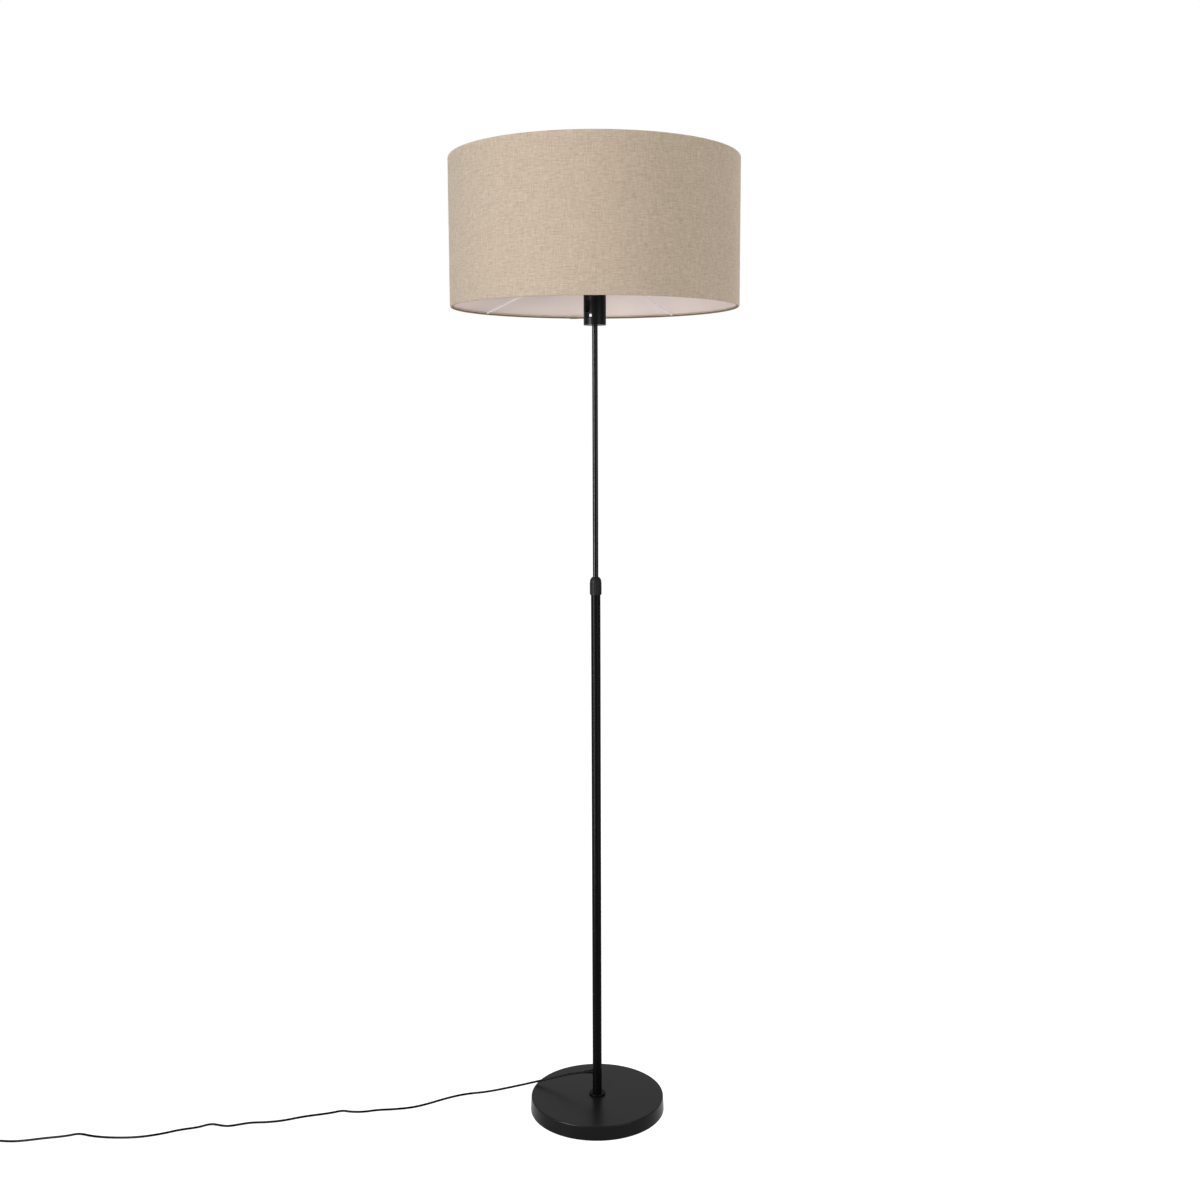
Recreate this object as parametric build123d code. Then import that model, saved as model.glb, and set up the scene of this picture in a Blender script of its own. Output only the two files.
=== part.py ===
from build123d import *
import math
import os

# Height-adjustable floor lamp, in millimetres. The floor is z = 0, the pole stands on the
# Z axis, and the front is -Y. Angles of side fittings turn from the front towards -X.

# Clearances
fit_clearance = 0.05  # radial, between pieces that stay together
running_clearance = 0.05  # radial, between a shaft and what it turns or slides in
free_clearance = 0.3  # between pieces that pass each other

# Base
base_diameter = 248.0  # cover at its lower edge
base_draft = 1.4  # radius lost from the lower edge to the top face
base_height = 27.0
cover_wall = 1.5
cover_edge_radius = 1.8
cover_lift = 0.8  # lower edge above the floor
weight_gap = 0.8  # radial, weight to cover
weight_plate = 12.5
weight_rim_width = 20.0
pad_thickness = 2.5
pad_width = 17.0
pad_inset = 1.2

# Clamp between base and pole
stud_diameter = 10.0
stud_bore = 6.0
stud_tail = 1.5  # below the nut
stud_grip = 18.0  # in the foot insert
washer_diameter = 26.0
washer_thickness = 1.6
nut_across_flats = 17.0
nut_height = 6.0
insert_length = 20.0
foot_collar_diameter = 30.0
foot_collar_height = 3.6
foot_collar_edge = 1.4

# Lower tube and its lock
lower_tube_diameter = 17.0
lower_tube_wall = 1.2
lower_tube_length = 950.0
ferrule_insert = 14.0
ferrule_head = 4.0
collet_height = 9.0
collet_base_diameter = 16.0
collet_top_diameter = 12.8
collet_ring_height = 2.5  # below the slits
collet_slit = 1.0
collet_slit_pairs = 2
collar_diameter = 21.1
collar_length = 32.0
collar_overlap = 11.0  # on the lower tube
collar_dome = 8.0
collar_mouth_rim = 0.4
collar_chamfer = 1.0
flute_count = 20
flute_diameter = 1.8
flute_depth = 0.35
flute_margin = 1.0

# Upper tube and its guide
upper_tube_diameter = 10.0
upper_tube_wall = 1.0
upper_tube_length = 592.0
mast_extension = 440.0  # collar top to lampholder
guide_length = 25.0
guide_tail = 3.0  # tube below the lower clip
clip_diameter = 13.2
clip_thickness = 1.2
clip_gap = 0.1

# Lampholder housing
housing_diameter = 39.0
housing_wall = 1.5
housing_floor = 3.0
housing_length = 90.0
housing_edge_radius = 0.8
socket_height = 16.0
screw_diameter = 5.0
screw_height = 15.7  # above the housing's bottom
screw_angle = 22.6
screw_recess = 0.2
screw_slot_width = 0.9
screw_slot_depth = 0.8

# Rocker switch
switch_angle = 37.0
switch_height = 31.6  # middle, above the housing's bottom
slot_width = 9.0
slot_length = 20.6
slot_corner = 1.5
bezel_border = 1.7
bezel_thickness = 0.8
rocker_width = 8.2
rocker_length = 18.0
rocker_corner = 1.5
rocker_dish = 7.0  # slope of each half of the face, in degrees
rocker_proud = 0.4  # middle of the face outside the housing
rocker_skirt = 3.5  # depth of its ends behind the housing's outside
rocker_foot_width = 7.0
rocker_foot_depth = 9.0
pivot_depth = 6.5  # behind the housing's outside
switch_pin_diameter = 2.0
switch_depth = 12.5
switch_back = 1.8
switch_cheek = 1.4
switch_body_length = 21.5

# Lamp socket
core_height = 24.0
core_chamfer = 1.0
skirt_length = 36.0
skirt_diameter = 39.0
skirt_bore = 33.6
skirt_flange_diameter = 41.0
skirt_flange_height = 3.0
skirt_thread_pitch = 3.0
skirt_thread_depth = 0.6
skirt_thread_start = 1.0
skirt_thread_turns = 10
shade_ring_diameter = 53.6
shade_ring_height = 7.0
ring_notch_count = 12
ring_notch_diameter = 5.0
ring_notch_depth = 1.2
edison_pitch = 3.62
edison_diameter = 25.36  # middle of the bulb cap's thread
edison_depth = 1.1
edison_clearance = 0.3
shell_wall = 0.5
shell_turns = 7
contact_diameter = 9.0
contact_height = 2.5

# Bulb
cap_turns = 5
cap_rise_turns = 2  # cap above the socket's floor
cap_wall = 0.6
cap_lip = 3.5
button_diameter = 8.0
button_height = 1.2
bulb_diameter = 60.0
neck_diameter = 26.4
neck_rise = 1.0
neck_blend_radius = 40.0
glass_wall = 1.0

# Shade
shade_diameter = 500.0
shade_height = 250.0
fabric_thickness = 0.6
liner_thickness = 0.4
liner_margin = 2.6  # from each wire ring
hem_wrap = 250.0  # degrees of fabric rolled round each wire ring
hem_clearance = 0.45
wire_diameter = 3.2
hub_diameter = 56.0
hub_bore = 40.4
hub_thickness = 1.6
spider_drop = 68.75  # hub to lower wire ring
spoke_count = 4
spoke_angle = 36.0  # first spoke, from the back towards +X
spoke_bite = 0.3
spoke_hole_clearance = 0.2

# Cord
cord_diameter = 4.0
exit_height = 69.0  # on the lower tube's outside
exit_angle = 25.0  # from -X towards the back
exit_drop = 15.0  # below level
exit_run = 43.0  # straight cord from inside the tube
bush_length = 20.0
bush_inside = 1.5
bush_neck_diameter = 6.8
bush_flange_diameter = 9.2
bush_flange_thickness = 1.6
bush_nose_diameter = 7.2
bush_tip_diameter = 5.4
slack_bend_radius = 5.0
arc_share = 0.45  # of the shorter run, taken by each arc

# Coil, tie and plug
coil_centre_x = -1122.0
coil_centre_y = -91.5
coil_radius = 29.5  # where the cord enters
coil_pitch = 4.6  # between turns and between layers
coil_half_turns = 5  # in the lower layer
coil_climb_inset = 0.7  # radius lost where the cord climbs to the upper layer
coil_entry_run = 4.0  # straight cord at each end
coil_exit_run = 12.0
tie_thickness = 0.6
tie_gap = 0.2
tie_side_gap = 0.9
tie_width = 5.0
tie_corner = 1.5
plug_length = 36.0
plug_width = 35.0
plug_rear_width = 15.0
plug_nose_width = 29.0
plug_shoulder = 23.0  # from the rear to the full width
plug_nose = 4.0
plug_edge_radius = 2.2
boot_length = 20.0
boot_tip_diameter = 6.4
boot_diameter = 10.0
pin_diameter = 4.0
pin_length = 19.0
pin_spacing = 18.6
pin_chamfer = 1.0

# Route of the free cord after its straight exit, down to the floor and to the coil
cord_route = [
    (-79.0, 36.5, 44.0),
    (-118.0, 48.5, 31.0),
    (-165.0, 51.5, 19.0),
    (-212.0, 50.5, 7.6),
    (-255.0, 46.0, 2.0),
    (-291.0, 30.0, 2.0),
    (-328.0, 8.0, 2.0),
    (-368.0, -8.0, 2.0),
    (-413.0, -12.5, 2.0),
    (-463.0, -16.0, 2.0),
    (-506.0, -27.0, 2.0),
    (-550.0, -38.0, 2.0),
    (-592.0, -53.0, 2.0),
    (-642.0, -60.5, 2.0),
    (-699.0, -64.5, 2.0),
    (-745.0, -79.5, 2.0),
    (-790.0, -97.0, 2.0),
    (-831.0, -108.0, 2.0),
    (-878.0, -108.0, 2.0),
    (-924.0, -97.5, 2.0),
    (-968.0, -106.5, 2.0),
    (-1018.0, -117.0, 2.2),
    (-1070.0, -121.0, 2.8),
]

# Heights that follow
weight_top = base_height - cover_wall
plate_underside = weight_top - weight_plate
washer_bottom = plate_underside - washer_thickness
nut_bottom = washer_bottom - nut_height
tube_top = base_height + lower_tube_length
head_top = tube_top + ferrule_head
collar_bottom = tube_top - collar_overlap
collar_top = collar_bottom + collar_length
housing_bottom = collar_top + mast_extension
housing_top = housing_bottom + housing_length
socket_bottom = housing_bottom + housing_floor
mast_top = socket_bottom + socket_height
mast_bottom = mast_top - upper_tube_length
guide_bottom = mast_bottom + guide_tail + clip_thickness + clip_gap
guide_top = guide_bottom + guide_length
core_bottom = housing_top - core_height
rest_ring_bottom = housing_top + skirt_flange_height
hub_bottom = rest_ring_bottom + shade_ring_height
hub_top = hub_bottom + hub_thickness
hub_middle = hub_bottom + hub_thickness / 2
cap_bottom = housing_top + cap_rise_turns * edison_pitch
cap_top = cap_bottom + cap_turns * edison_pitch
bulb_seat = housing_top + contact_height

# Radii and planes that follow
weight_radius = base_diameter / 2 - base_draft - cover_wall - weight_gap
lower_tube_bore = lower_tube_diameter - 2 * lower_tube_wall
housing_bore = housing_diameter - 2 * housing_wall
wire_radius = wire_diameter / 2
hem_bore_radius = wire_radius + hem_clearance
hem_radius = hem_bore_radius + fabric_thickness
wire_ring_radius = shade_diameter / 2 - hem_radius
low_wire_height = hub_middle - spider_drop
high_wire_height = low_wire_height - 2 * hem_radius + shade_height
cord_radius = cord_diameter / 2
drop = math.radians(exit_drop)
exit_turn = math.radians(exit_angle)
exit_direction = Vector(
    -math.cos(exit_turn) * math.cos(drop),
    math.sin(exit_turn) * math.cos(drop),
    -math.sin(drop),
)
exit_centre = Vector(0, 0, exit_height + lower_tube_diameter / 2 * math.tan(drop))
exit_plane = Plane(origin=exit_centre, z_dir=exit_direction)
exit_surface = lower_tube_diameter / 2 / math.cos(drop)
bush_start = lower_tube_bore / 2 / math.cos(drop) - bush_inside
bush_tip = bush_start + bush_length
bend_tangent = slack_bend_radius * math.tan((math.pi / 2 - drop) / 2)
lead_start = bend_tangent + fit_clearance
coil_low = tie_thickness + tie_gap + cord_radius
coil_high = coil_low + coil_pitch
coil_step = coil_pitch / 2
from_bottom = (Align.CENTER, Align.CENTER, Align.MIN)


# Shapes used by several pieces
def turned(points):
    """Solid turned about Z from a closed outline of (radius, height) points."""
    outline = Polyline(*[(radius, 0, height) for radius, height in points], close=True)
    return revolve(make_face(outline), Axis.Z)


def turned_edges(edges):
    """Solid turned about Z from edges that close an outline in the XZ plane."""
    return revolve(make_face(edges), Axis.Z)


def tube(outer, inner, bottom, top):
    """Round tube between two heights, from its two diameters."""
    height = top - bottom
    body = Cylinder(outer / 2, height, align=from_bottom)
    return Pos(0, 0, bottom) * (body - Cylinder(inner / 2, height, align=from_bottom))


def rod(diameter, bottom, top):
    """Round bar on the Z axis between two heights."""
    return Pos(0, 0, bottom) * Cylinder(diameter / 2, top - bottom, align=from_bottom)


def rims(solid, radius, height):
    """Circular edges of a solid at a radius and a height."""
    found = []
    for edge in solid.edges().filter_by(GeomType.CIRCLE):
        if abs(edge.radius - radius) < 0.01 and abs(edge.arc_center.Z - height) < 0.01:
            found.append(edge)
    return found


def side_plane(angle, height):
    """Plane facing out of the pole at an angle from the front, with X level and Y up."""
    turn = math.radians(angle)
    along = (math.cos(turn), -math.sin(turn), 0)
    outward = (-math.sin(turn), -math.cos(turn), 0)
    return Plane(origin=(0, 0, height), x_dir=along, z_dir=outward)


def bar_between(start, end, radius):
    """Round bar from one point to another."""
    line = end - start
    return Plane(origin=start, z_dir=line) * Cylinder(radius, line.length, align=from_bottom)


# Base
def make_base_cover():
    low = base_diameter / 2
    high = low - base_draft
    hole = stud_diameter / 2 + free_clearance
    solid = turned([
        (hole, base_height),
        (high, base_height),
        (low, cover_lift),
        (low - cover_wall, cover_lift),
        (high - cover_wall, weight_top),
        (hole, weight_top),
    ])
    return fillet(rims(solid, high, base_height), cover_edge_radius)


def make_base_weight():
    hole = stud_diameter / 2 + free_clearance
    rim = weight_radius - weight_rim_width
    return turned([
        (hole, weight_top),
        (weight_radius, weight_top),
        (weight_radius, pad_thickness),
        (rim, pad_thickness),
        (rim, plate_underside),
        (hole, plate_underside),
    ])


def make_base_pad():
    outer = 2 * (weight_radius - pad_inset)
    return tube(outer, outer - 2 * pad_width, 0, pad_thickness)


def make_base_nipple():
    return tube(stud_diameter, stud_bore, nut_bottom - stud_tail, base_height + stud_grip)


def make_base_washer():
    bore = stud_diameter + 2 * free_clearance
    return tube(washer_diameter, bore, washer_bottom, plate_underside)


def make_base_nut():
    hexagon = RegularPolygon(nut_across_flats / 2, 6, major_radius=False)
    hexagon -= Circle(stud_diameter / 2 + fit_clearance)
    return Pos(0, 0, nut_bottom) * extrude(hexagon, nut_height)


def make_foot_insert():
    outer = lower_tube_bore - 2 * fit_clearance
    bore = stud_diameter + 2 * fit_clearance
    return tube(outer, bore, base_height, base_height + insert_length)


def make_foot_collar():
    bore = lower_tube_diameter + 2 * fit_clearance
    top = base_height + foot_collar_height
    ring = tube(foot_collar_diameter, bore, base_height, top)
    return fillet(rims(ring, foot_collar_diameter / 2, top), foot_collar_edge)


# Stand
def make_lower_tube():
    wall = tube(lower_tube_diameter, lower_tube_bore, base_height, tube_top)
    hole_radius = bush_neck_diameter / 2 + fit_clearance
    hole = exit_plane * Cylinder(hole_radius, lower_tube_diameter, align=from_bottom)
    return wall - hole


def make_cord_bush():
    flange_end = exit_surface + bush_flange_thickness
    outside = exit_plane * turned([
        (0, exit_surface - bush_flange_diameter / 2),
        (bush_flange_diameter / 2, exit_surface - bush_flange_diameter / 2),
        (bush_flange_diameter / 2, flange_end),
        (bush_nose_diameter / 2, flange_end),
        (bush_tip_diameter / 2, bush_tip),
        (0, bush_tip),
    ])
    outside -= rod(lower_tube_diameter, base_height, tube_top)
    neck = exit_plane * rod(bush_neck_diameter, bush_start, flange_end)
    bore = exit_plane * rod(cord_diameter + 2 * fit_clearance, bush_start, bush_tip)
    return outside + neck - bore


def make_tube_ferrule():
    bore = upper_tube_diameter / 2 + free_clearance
    insert = lower_tube_bore / 2 - fit_clearance
    head = lower_tube_diameter / 2
    return turned([
        (bore, tube_top - ferrule_insert),
        (insert, tube_top - ferrule_insert),
        (insert, tube_top),
        (head, tube_top),
        (head, head_top),
        (bore, head_top),
    ])


def make_collet():
    bore = upper_tube_diameter / 2 + running_clearance
    collet_top = head_top + collet_height
    cone = turned([
        (bore, head_top),
        (collet_base_diameter / 2, head_top),
        (collet_base_diameter / 2, head_top + collet_ring_height),
        (collet_top_diameter / 2, collet_top),
        (bore, collet_top),
    ])
    slit = Box(collet_base_diameter, collet_slit, collet_height, align=from_bottom)
    for i in range(collet_slit_pairs):
        turn = 180 / collet_slit_pairs * i
        cone -= Pos(0, 0, head_top + collet_ring_height) * Rot(0, 0, turn) * slit
    return cone


def make_lock_collar():
    radius = collar_diameter / 2
    skirt = lower_tube_diameter / 2 + free_clearance
    mouth = upper_tube_diameter / 2 + free_clearance
    rim = mouth + collar_mouth_rim
    ceiling = head_top + collet_height + free_clearance
    ceiling_radius = collet_top_diameter / 2 + free_clearance
    shoulder = collar_top - collar_dome
    dome_radius = ((radius - rim) ** 2 + collar_dome**2) / (2 * (radius - rim))
    half_angle = math.asin(collar_dome / dome_radius) / 2
    dome_middle = (
        radius - dome_radius * (1 - math.cos(half_angle)),
        0,
        shoulder + dome_radius * math.sin(half_angle),
    )
    dome = ThreePointArc((radius, 0, shoulder), dome_middle, (rim, 0, collar_top))
    inside = Polyline(
        (rim, 0, collar_top),
        (mouth, 0, collar_top),
        (mouth, 0, ceiling),
        (ceiling_radius, 0, ceiling),
        (skirt, 0, head_top + collet_ring_height),
        (skirt, 0, collar_bottom),
        (radius - collar_chamfer, 0, collar_bottom),
        (radius, 0, collar_bottom + collar_chamfer),
        (radius, 0, shoulder),
    )
    solid = turned_edges([dome, inside])
    flute_bottom = collar_bottom + collar_chamfer + flute_margin
    flute = rod(flute_diameter, flute_bottom, shoulder - flute_margin)
    flute_distance = radius + flute_diameter / 2 - flute_depth
    flutes = [
        Rot(0, 0, 360 / flute_count * i) * Pos(flute_distance, 0, 0) * flute
        for i in range(flute_count)
    ]
    return solid - flutes


# Telescope
def make_guide_bush():
    outer = lower_tube_bore - 2 * running_clearance
    bore = upper_tube_diameter + 2 * running_clearance
    return tube(outer, bore, guide_bottom, guide_top)


def make_guide_clips():
    low = guide_bottom - clip_gap - clip_thickness
    high = guide_top + clip_gap
    clips = [
        tube(clip_diameter, upper_tube_diameter, bottom, bottom + clip_thickness)
        for bottom in (low, high)
    ]
    return Compound(clips)


def make_upper_tube():
    bore = upper_tube_diameter - 2 * upper_tube_wall
    return tube(upper_tube_diameter, bore, mast_bottom, mast_top)


# Lampholder housing
def screw_line():
    return side_plane(screw_angle, housing_bottom + screw_height)


def switch_plane():
    return side_plane(switch_angle, housing_bottom + switch_height)


def screw_hole():
    return screw_line() * rod(screw_diameter + 2 * fit_clearance, 0, housing_diameter)


def make_mast_socket():
    outer = housing_bore - 2 * fit_clearance
    bore = upper_tube_diameter + 2 * fit_clearance
    return tube(outer, bore, socket_bottom, mast_top) - screw_hole()


def make_socket_screw():
    inner = upper_tube_diameter / 2 + fit_clearance
    outer = housing_diameter / 2 - screw_recess
    screw = rod(screw_diameter, inner, outer)
    slot = Box(screw_diameter, screw_slot_width, 2 * screw_slot_depth)
    curve = rod(upper_tube_diameter + 2 * fit_clearance, housing_bottom, mast_top)
    return screw_line() * (screw - Pos(0, 0, outer) * slot) - curve


def make_holder_housing():
    radius = housing_diameter / 2
    bore = housing_bore / 2
    hole = upper_tube_diameter / 2 + fit_clearance
    cup = turned([
        (hole, housing_bottom),
        (radius, housing_bottom),
        (radius, housing_top),
        (bore, housing_top),
        (bore, socket_bottom),
        (hole, socket_bottom),
    ])
    cup = fillet(rims(cup, radius, housing_bottom), housing_edge_radius)
    slot = extrude(RectangleRounded(slot_width, slot_length, slot_corner), housing_diameter)
    return cup - switch_plane() * slot - screw_hole()


def make_switch_bezel():
    width = slot_width + 2 * bezel_border
    length = slot_length + 2 * bezel_border
    frame = RectangleRounded(width, length, slot_corner + bezel_border)
    frame -= RectangleRounded(slot_width, slot_length, slot_corner)
    prism = switch_plane() * extrude(frame, housing_diameter)
    outer = housing_diameter + 2 * bezel_thickness
    return prism & tube(outer, housing_diameter, housing_bottom, housing_top)


def pivot_line():
    """Plane at the rocker's pivot, with X out of the housing, Y up and Z along the pin."""
    plane = switch_plane()
    pivot = plane.origin + plane.z_dir * (housing_diameter / 2 - pivot_depth)
    return Plane(origin=pivot, x_dir=plane.z_dir, z_dir=-plane.x_dir)


def make_switch_body():
    cheek_outside = rocker_width / 2 + free_clearance + switch_cheek
    block = Box(2 * cheek_outside, switch_body_length, switch_depth, align=from_bottom)
    gap = Box(rocker_width + 2 * free_clearance, switch_body_length, switch_depth, align=from_bottom)
    body = block - Pos(0, 0, switch_back) * gap
    body = switch_plane() * Pos(0, 0, housing_diameter / 2 - switch_depth) * body
    body &= rod(housing_bore - 2 * fit_clearance, socket_bottom, housing_top)
    hole = Cylinder(switch_pin_diameter / 2 + fit_clearance, 2 * cheek_outside)
    return body - pivot_line() * hole


def make_switch_pin():
    length = rocker_width + 2 * (free_clearance + switch_cheek)
    return pivot_line() * Cylinder(switch_pin_diameter / 2, length)


def make_switch_rocker():
    half = rocker_length / 2
    face = pivot_depth + rocker_proud
    end = face + half * math.tan(math.radians(rocker_dish))
    back = pivot_depth - rocker_skirt
    foot = pivot_depth - rocker_foot_depth
    outline = Polyline(
        (face, 0),
        (end, half),
        (back, half),
        (foot, rocker_foot_width / 2),
        (foot, -rocker_foot_width / 2),
        (back, -half),
        (end, -half),
        close=True,
    )
    rocker = extrude(make_face(outline), rocker_width / 2, both=True)
    rocker = fillet(rocker.edges().filter_by(Axis.X), rocker_corner)
    rocker -= Cylinder(switch_pin_diameter / 2 + running_clearance, rocker_width)
    return pivot_line() * Rot(0, 0, rocker_dish) * rocker


# Lamp socket
def make_holder_core():
    core = rod(housing_bore - 2 * fit_clearance, core_bottom, housing_top)
    return chamfer(rims(core, housing_bore / 2 - fit_clearance, core_bottom), core_chamfer)


def make_holder_skirt():
    crest = skirt_diameter / 2
    root = crest - skirt_thread_depth
    flange_top = housing_top + skirt_flange_height
    skirt_top = housing_top + skirt_length
    points = [
        (skirt_bore / 2, housing_top),
        (skirt_flange_diameter / 2, housing_top),
        (skirt_flange_diameter / 2, flange_top),
        (root, flange_top),
    ]
    for i in range(skirt_thread_turns):
        low = flange_top + skirt_thread_start + i * skirt_thread_pitch
        points.append((root, low))
        points.append((crest, low + skirt_thread_pitch / 2))
    points.append((root, low + skirt_thread_pitch))
    points.append((root, skirt_top))
    points.append((skirt_bore / 2, skirt_top))
    return turned(points)


def make_shade_ring(bottom):
    ring = tube(shade_ring_diameter, skirt_diameter + 2 * fit_clearance, bottom, bottom + shade_ring_height)
    notch = rod(ring_notch_diameter, bottom, bottom + shade_ring_height)
    distance = shade_ring_diameter / 2 + ring_notch_diameter / 2 - ring_notch_depth
    notches = [
        Rot(0, 0, 360 / ring_notch_count * i) * Pos(distance, 0, 0) * notch
        for i in range(ring_notch_count)
    ]
    return ring - notches


def thread_wave(radius, bottom, turns):
    """Rounded lamp thread outline, as arcs that swell and sink in turn."""
    arcs = []
    step = edison_pitch / 2
    for i in range(2 * turns):
        low = bottom + i * step
        swell = edison_depth / 2 if i % 2 == 0 else -edison_depth / 2
        middle = (radius + swell, 0, low + step / 2)
        arcs.append(ThreePointArc((radius, 0, low), middle, (radius, 0, low + step)))
    return arcs


def make_screw_shell():
    inner = edison_diameter / 2 + edison_clearance
    outer = inner + shell_wall
    shell_top = housing_top + shell_turns * edison_pitch
    edges = thread_wave(inner, housing_top, shell_turns)
    edges += thread_wave(outer, housing_top, shell_turns)
    edges.append(Line((inner, 0, housing_top), (outer, 0, housing_top)))
    edges.append(Line((inner, 0, shell_top), (outer, 0, shell_top)))
    return turned_edges(edges)


def make_centre_contact():
    return rod(contact_diameter, housing_top, bulb_seat)


# Bulb
def make_bulb_contact():
    return turned([
        (0, bulb_seat),
        (button_diameter / 2, bulb_seat),
        (button_diameter / 2, bulb_seat + button_height),
        (edison_diameter / 2 - cap_lip + 1.0, cap_bottom),
        (0, cap_bottom),
    ])


def make_bulb_cap():
    radius = edison_diameter / 2
    bore = radius - edison_depth / 2 - cap_wall
    lip = radius - cap_lip
    edges = thread_wave(radius, cap_bottom, cap_turns)
    edges.append(Polyline(
        (radius, 0, cap_top),
        (bore, 0, cap_top),
        (bore, 0, cap_bottom + cap_wall),
        (lip, 0, cap_bottom + cap_wall),
        (lip, 0, cap_bottom),
        (radius, 0, cap_bottom),
    ))
    return turned_edges(edges)


def globe_outline(inset):
    """Neck, blend and globe of the bulb, drawn in by an inset."""
    neck = neck_diameter / 2 - inset
    globe = bulb_diameter / 2 - inset
    blend = neck_blend_radius + inset
    neck_top = cap_top + neck_rise
    blend_x = neck + blend
    rise = math.sqrt((globe + blend) ** 2 - blend_x**2)
    middle = neck_top + rise
    angle = math.atan2(rise, blend_x)
    join = (globe * math.cos(angle), 0, middle - globe * math.sin(angle))
    half = angle / 2
    blend_middle = (blend_x - blend * math.cos(half), 0, neck_top + blend * math.sin(half))
    top = (0, 0, middle + globe)
    straight = Line((neck, 0, cap_top), (neck, 0, neck_top))
    curve = ThreePointArc((neck, 0, neck_top), blend_middle, join)
    ball = ThreePointArc(join, (globe, 0, middle), top)
    return [straight, curve, ball], neck, top


def make_bulb_globe():
    outer, outer_neck, outer_top = globe_outline(0)
    inner, inner_neck, inner_top = globe_outline(glass_wall)
    foot = Line((inner_neck, 0, cap_top), (outer_neck, 0, cap_top))
    crown = Line(inner_top, outer_top)
    return turned_edges(outer + inner + [foot, crown])


# Shade
def make_wire_ring(height):
    return Pos(0, 0, height) * Torus(wire_ring_radius, wire_radius)


def make_spider_hub():
    return tube(hub_diameter, hub_bore, hub_bottom, hub_top)


def spoke_lines():
    """Ends of each spoke on its centre line, at the hub and at the wire ring."""
    lines = []
    for i in range(spoke_count):
        turn = math.radians(spoke_angle + 360 / spoke_count * i)
        out = Vector(math.sin(turn), math.cos(turn), 0)
        start = out * (hub_diameter / 2 - spoke_bite) + Vector(0, 0, hub_middle)
        end = out * wire_ring_radius + Vector(0, 0, low_wire_height)
        lines.append((start, end))
    return lines


def make_spider_spokes():
    hub = make_spider_hub()
    wire_ring = make_wire_ring(low_wire_height)
    spokes = []
    for start, end in spoke_lines():
        line = end - start
        short_end = start + line * ((line.length - wire_radius / 2) / line.length)
        spokes.append(bar_between(start, short_end, wire_radius) - hub - wire_ring)
    return Compound(spokes)


def hem_edges(height, side):
    """Fabric rolled round a wire ring: side is 1 at the upper ring and -1 at the lower one."""
    def point(radius, degrees):
        angle = math.radians(degrees)
        across = wire_ring_radius + radius * math.cos(angle)
        return (across, 0, height + side * radius * math.sin(angle))

    outer = ThreePointArc(point(hem_radius, 0), point(hem_radius, hem_wrap / 2), point(hem_radius, hem_wrap))
    inner_middle = point(hem_bore_radius, hem_wrap / 2)
    inner_end = point(hem_bore_radius, hem_wrap)
    inner = ThreePointArc(point(hem_bore_radius, 0), inner_middle, inner_end)
    return [outer, inner, Line(point(hem_radius, hem_wrap), inner_end)]


def make_shade_fabric():
    outside = shade_diameter / 2
    inside = outside - fabric_thickness
    edges = hem_edges(high_wire_height, 1) + hem_edges(low_wire_height, -1)
    edges.append(Line((outside, 0, low_wire_height), (outside, 0, high_wire_height)))
    edges.append(Line((inside, 0, low_wire_height), (inside, 0, high_wire_height)))
    skin = turned_edges(edges)
    holes = [
        bar_between(start, end, wire_radius + spoke_hole_clearance)
        for start, end in spoke_lines()
    ]
    return skin - holes


def make_shade_liner():
    outer = shade_diameter - 2 * fabric_thickness
    inner = outer - 2 * liner_thickness
    return tube(outer, inner, low_wire_height + liner_margin, high_wire_height - liner_margin)


# Leads and cord
def cord_tube(path):
    """Round cord along a path, with its volume set against section times length."""
    start = Plane(origin=path @ 0, z_dir=path % 0)
    solid = sweep(start * Circle(cord_radius), path=path)
    expected = math.pi * cord_radius**2 * path.length
    print(f"  length {path.length:.1f} mm, volume share {solid.volume / expected:.4f}")
    return solid


def route_path(points):
    """Straight runs joined by arcs as large as the runs allow."""
    radii = []
    for before, here, after in zip(points, points[1:], points[2:]):
        arriving = here - before
        leaving = after - here
        half_turn = math.radians(arriving.get_angle(leaving)) / 2
        shorter = min(arriving.length, leaving.length)
        radii.append(arc_share * shorter / math.tan(half_turn))
    print("  radii", [round(radius) for radius in radii])
    return FilletPolyline(*points, radius=radii)


def make_inner_lead():
    return rod(cord_diameter, mast_bottom, core_bottom)


def make_slack_lead():
    corner = exit_centre
    start = corner + exit_direction * lead_start
    end = Vector(0, 0, mast_bottom)
    return cord_tube(FilletPolyline(start, corner, end, radius=slack_bend_radius))


def make_cord_lead():
    start = exit_centre + exit_direction * lead_start
    straight_end = start + exit_direction * exit_run
    coil_entry = Vector(coil_centre_x + coil_entry_run, coil_centre_y - coil_radius, coil_low)
    points = [start, straight_end]
    points += [Vector(*point) for point in cord_route]
    points.append(coil_entry)
    return cord_tube(route_path(points))


def coil_crossings():
    """Points where the coil crosses the line through its middle, half a turn apart."""
    inward = [coil_radius - i * coil_step for i in range(coil_half_turns)]
    inmost = inward[-1] - coil_step
    outward = [inmost + (i + 1) * coil_step for i in range(coil_half_turns + 1)]
    climb = [inmost - coil_climb_inset] * 2
    crossings = []
    for i, radius in enumerate(inward + climb + outward):
        side = -1 if i % 2 == 0 else 1
        height = coil_low if i <= coil_half_turns else coil_high
        crossings.append(Vector(coil_centre_x, coil_centre_y + side * radius, height))
    return crossings


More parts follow.
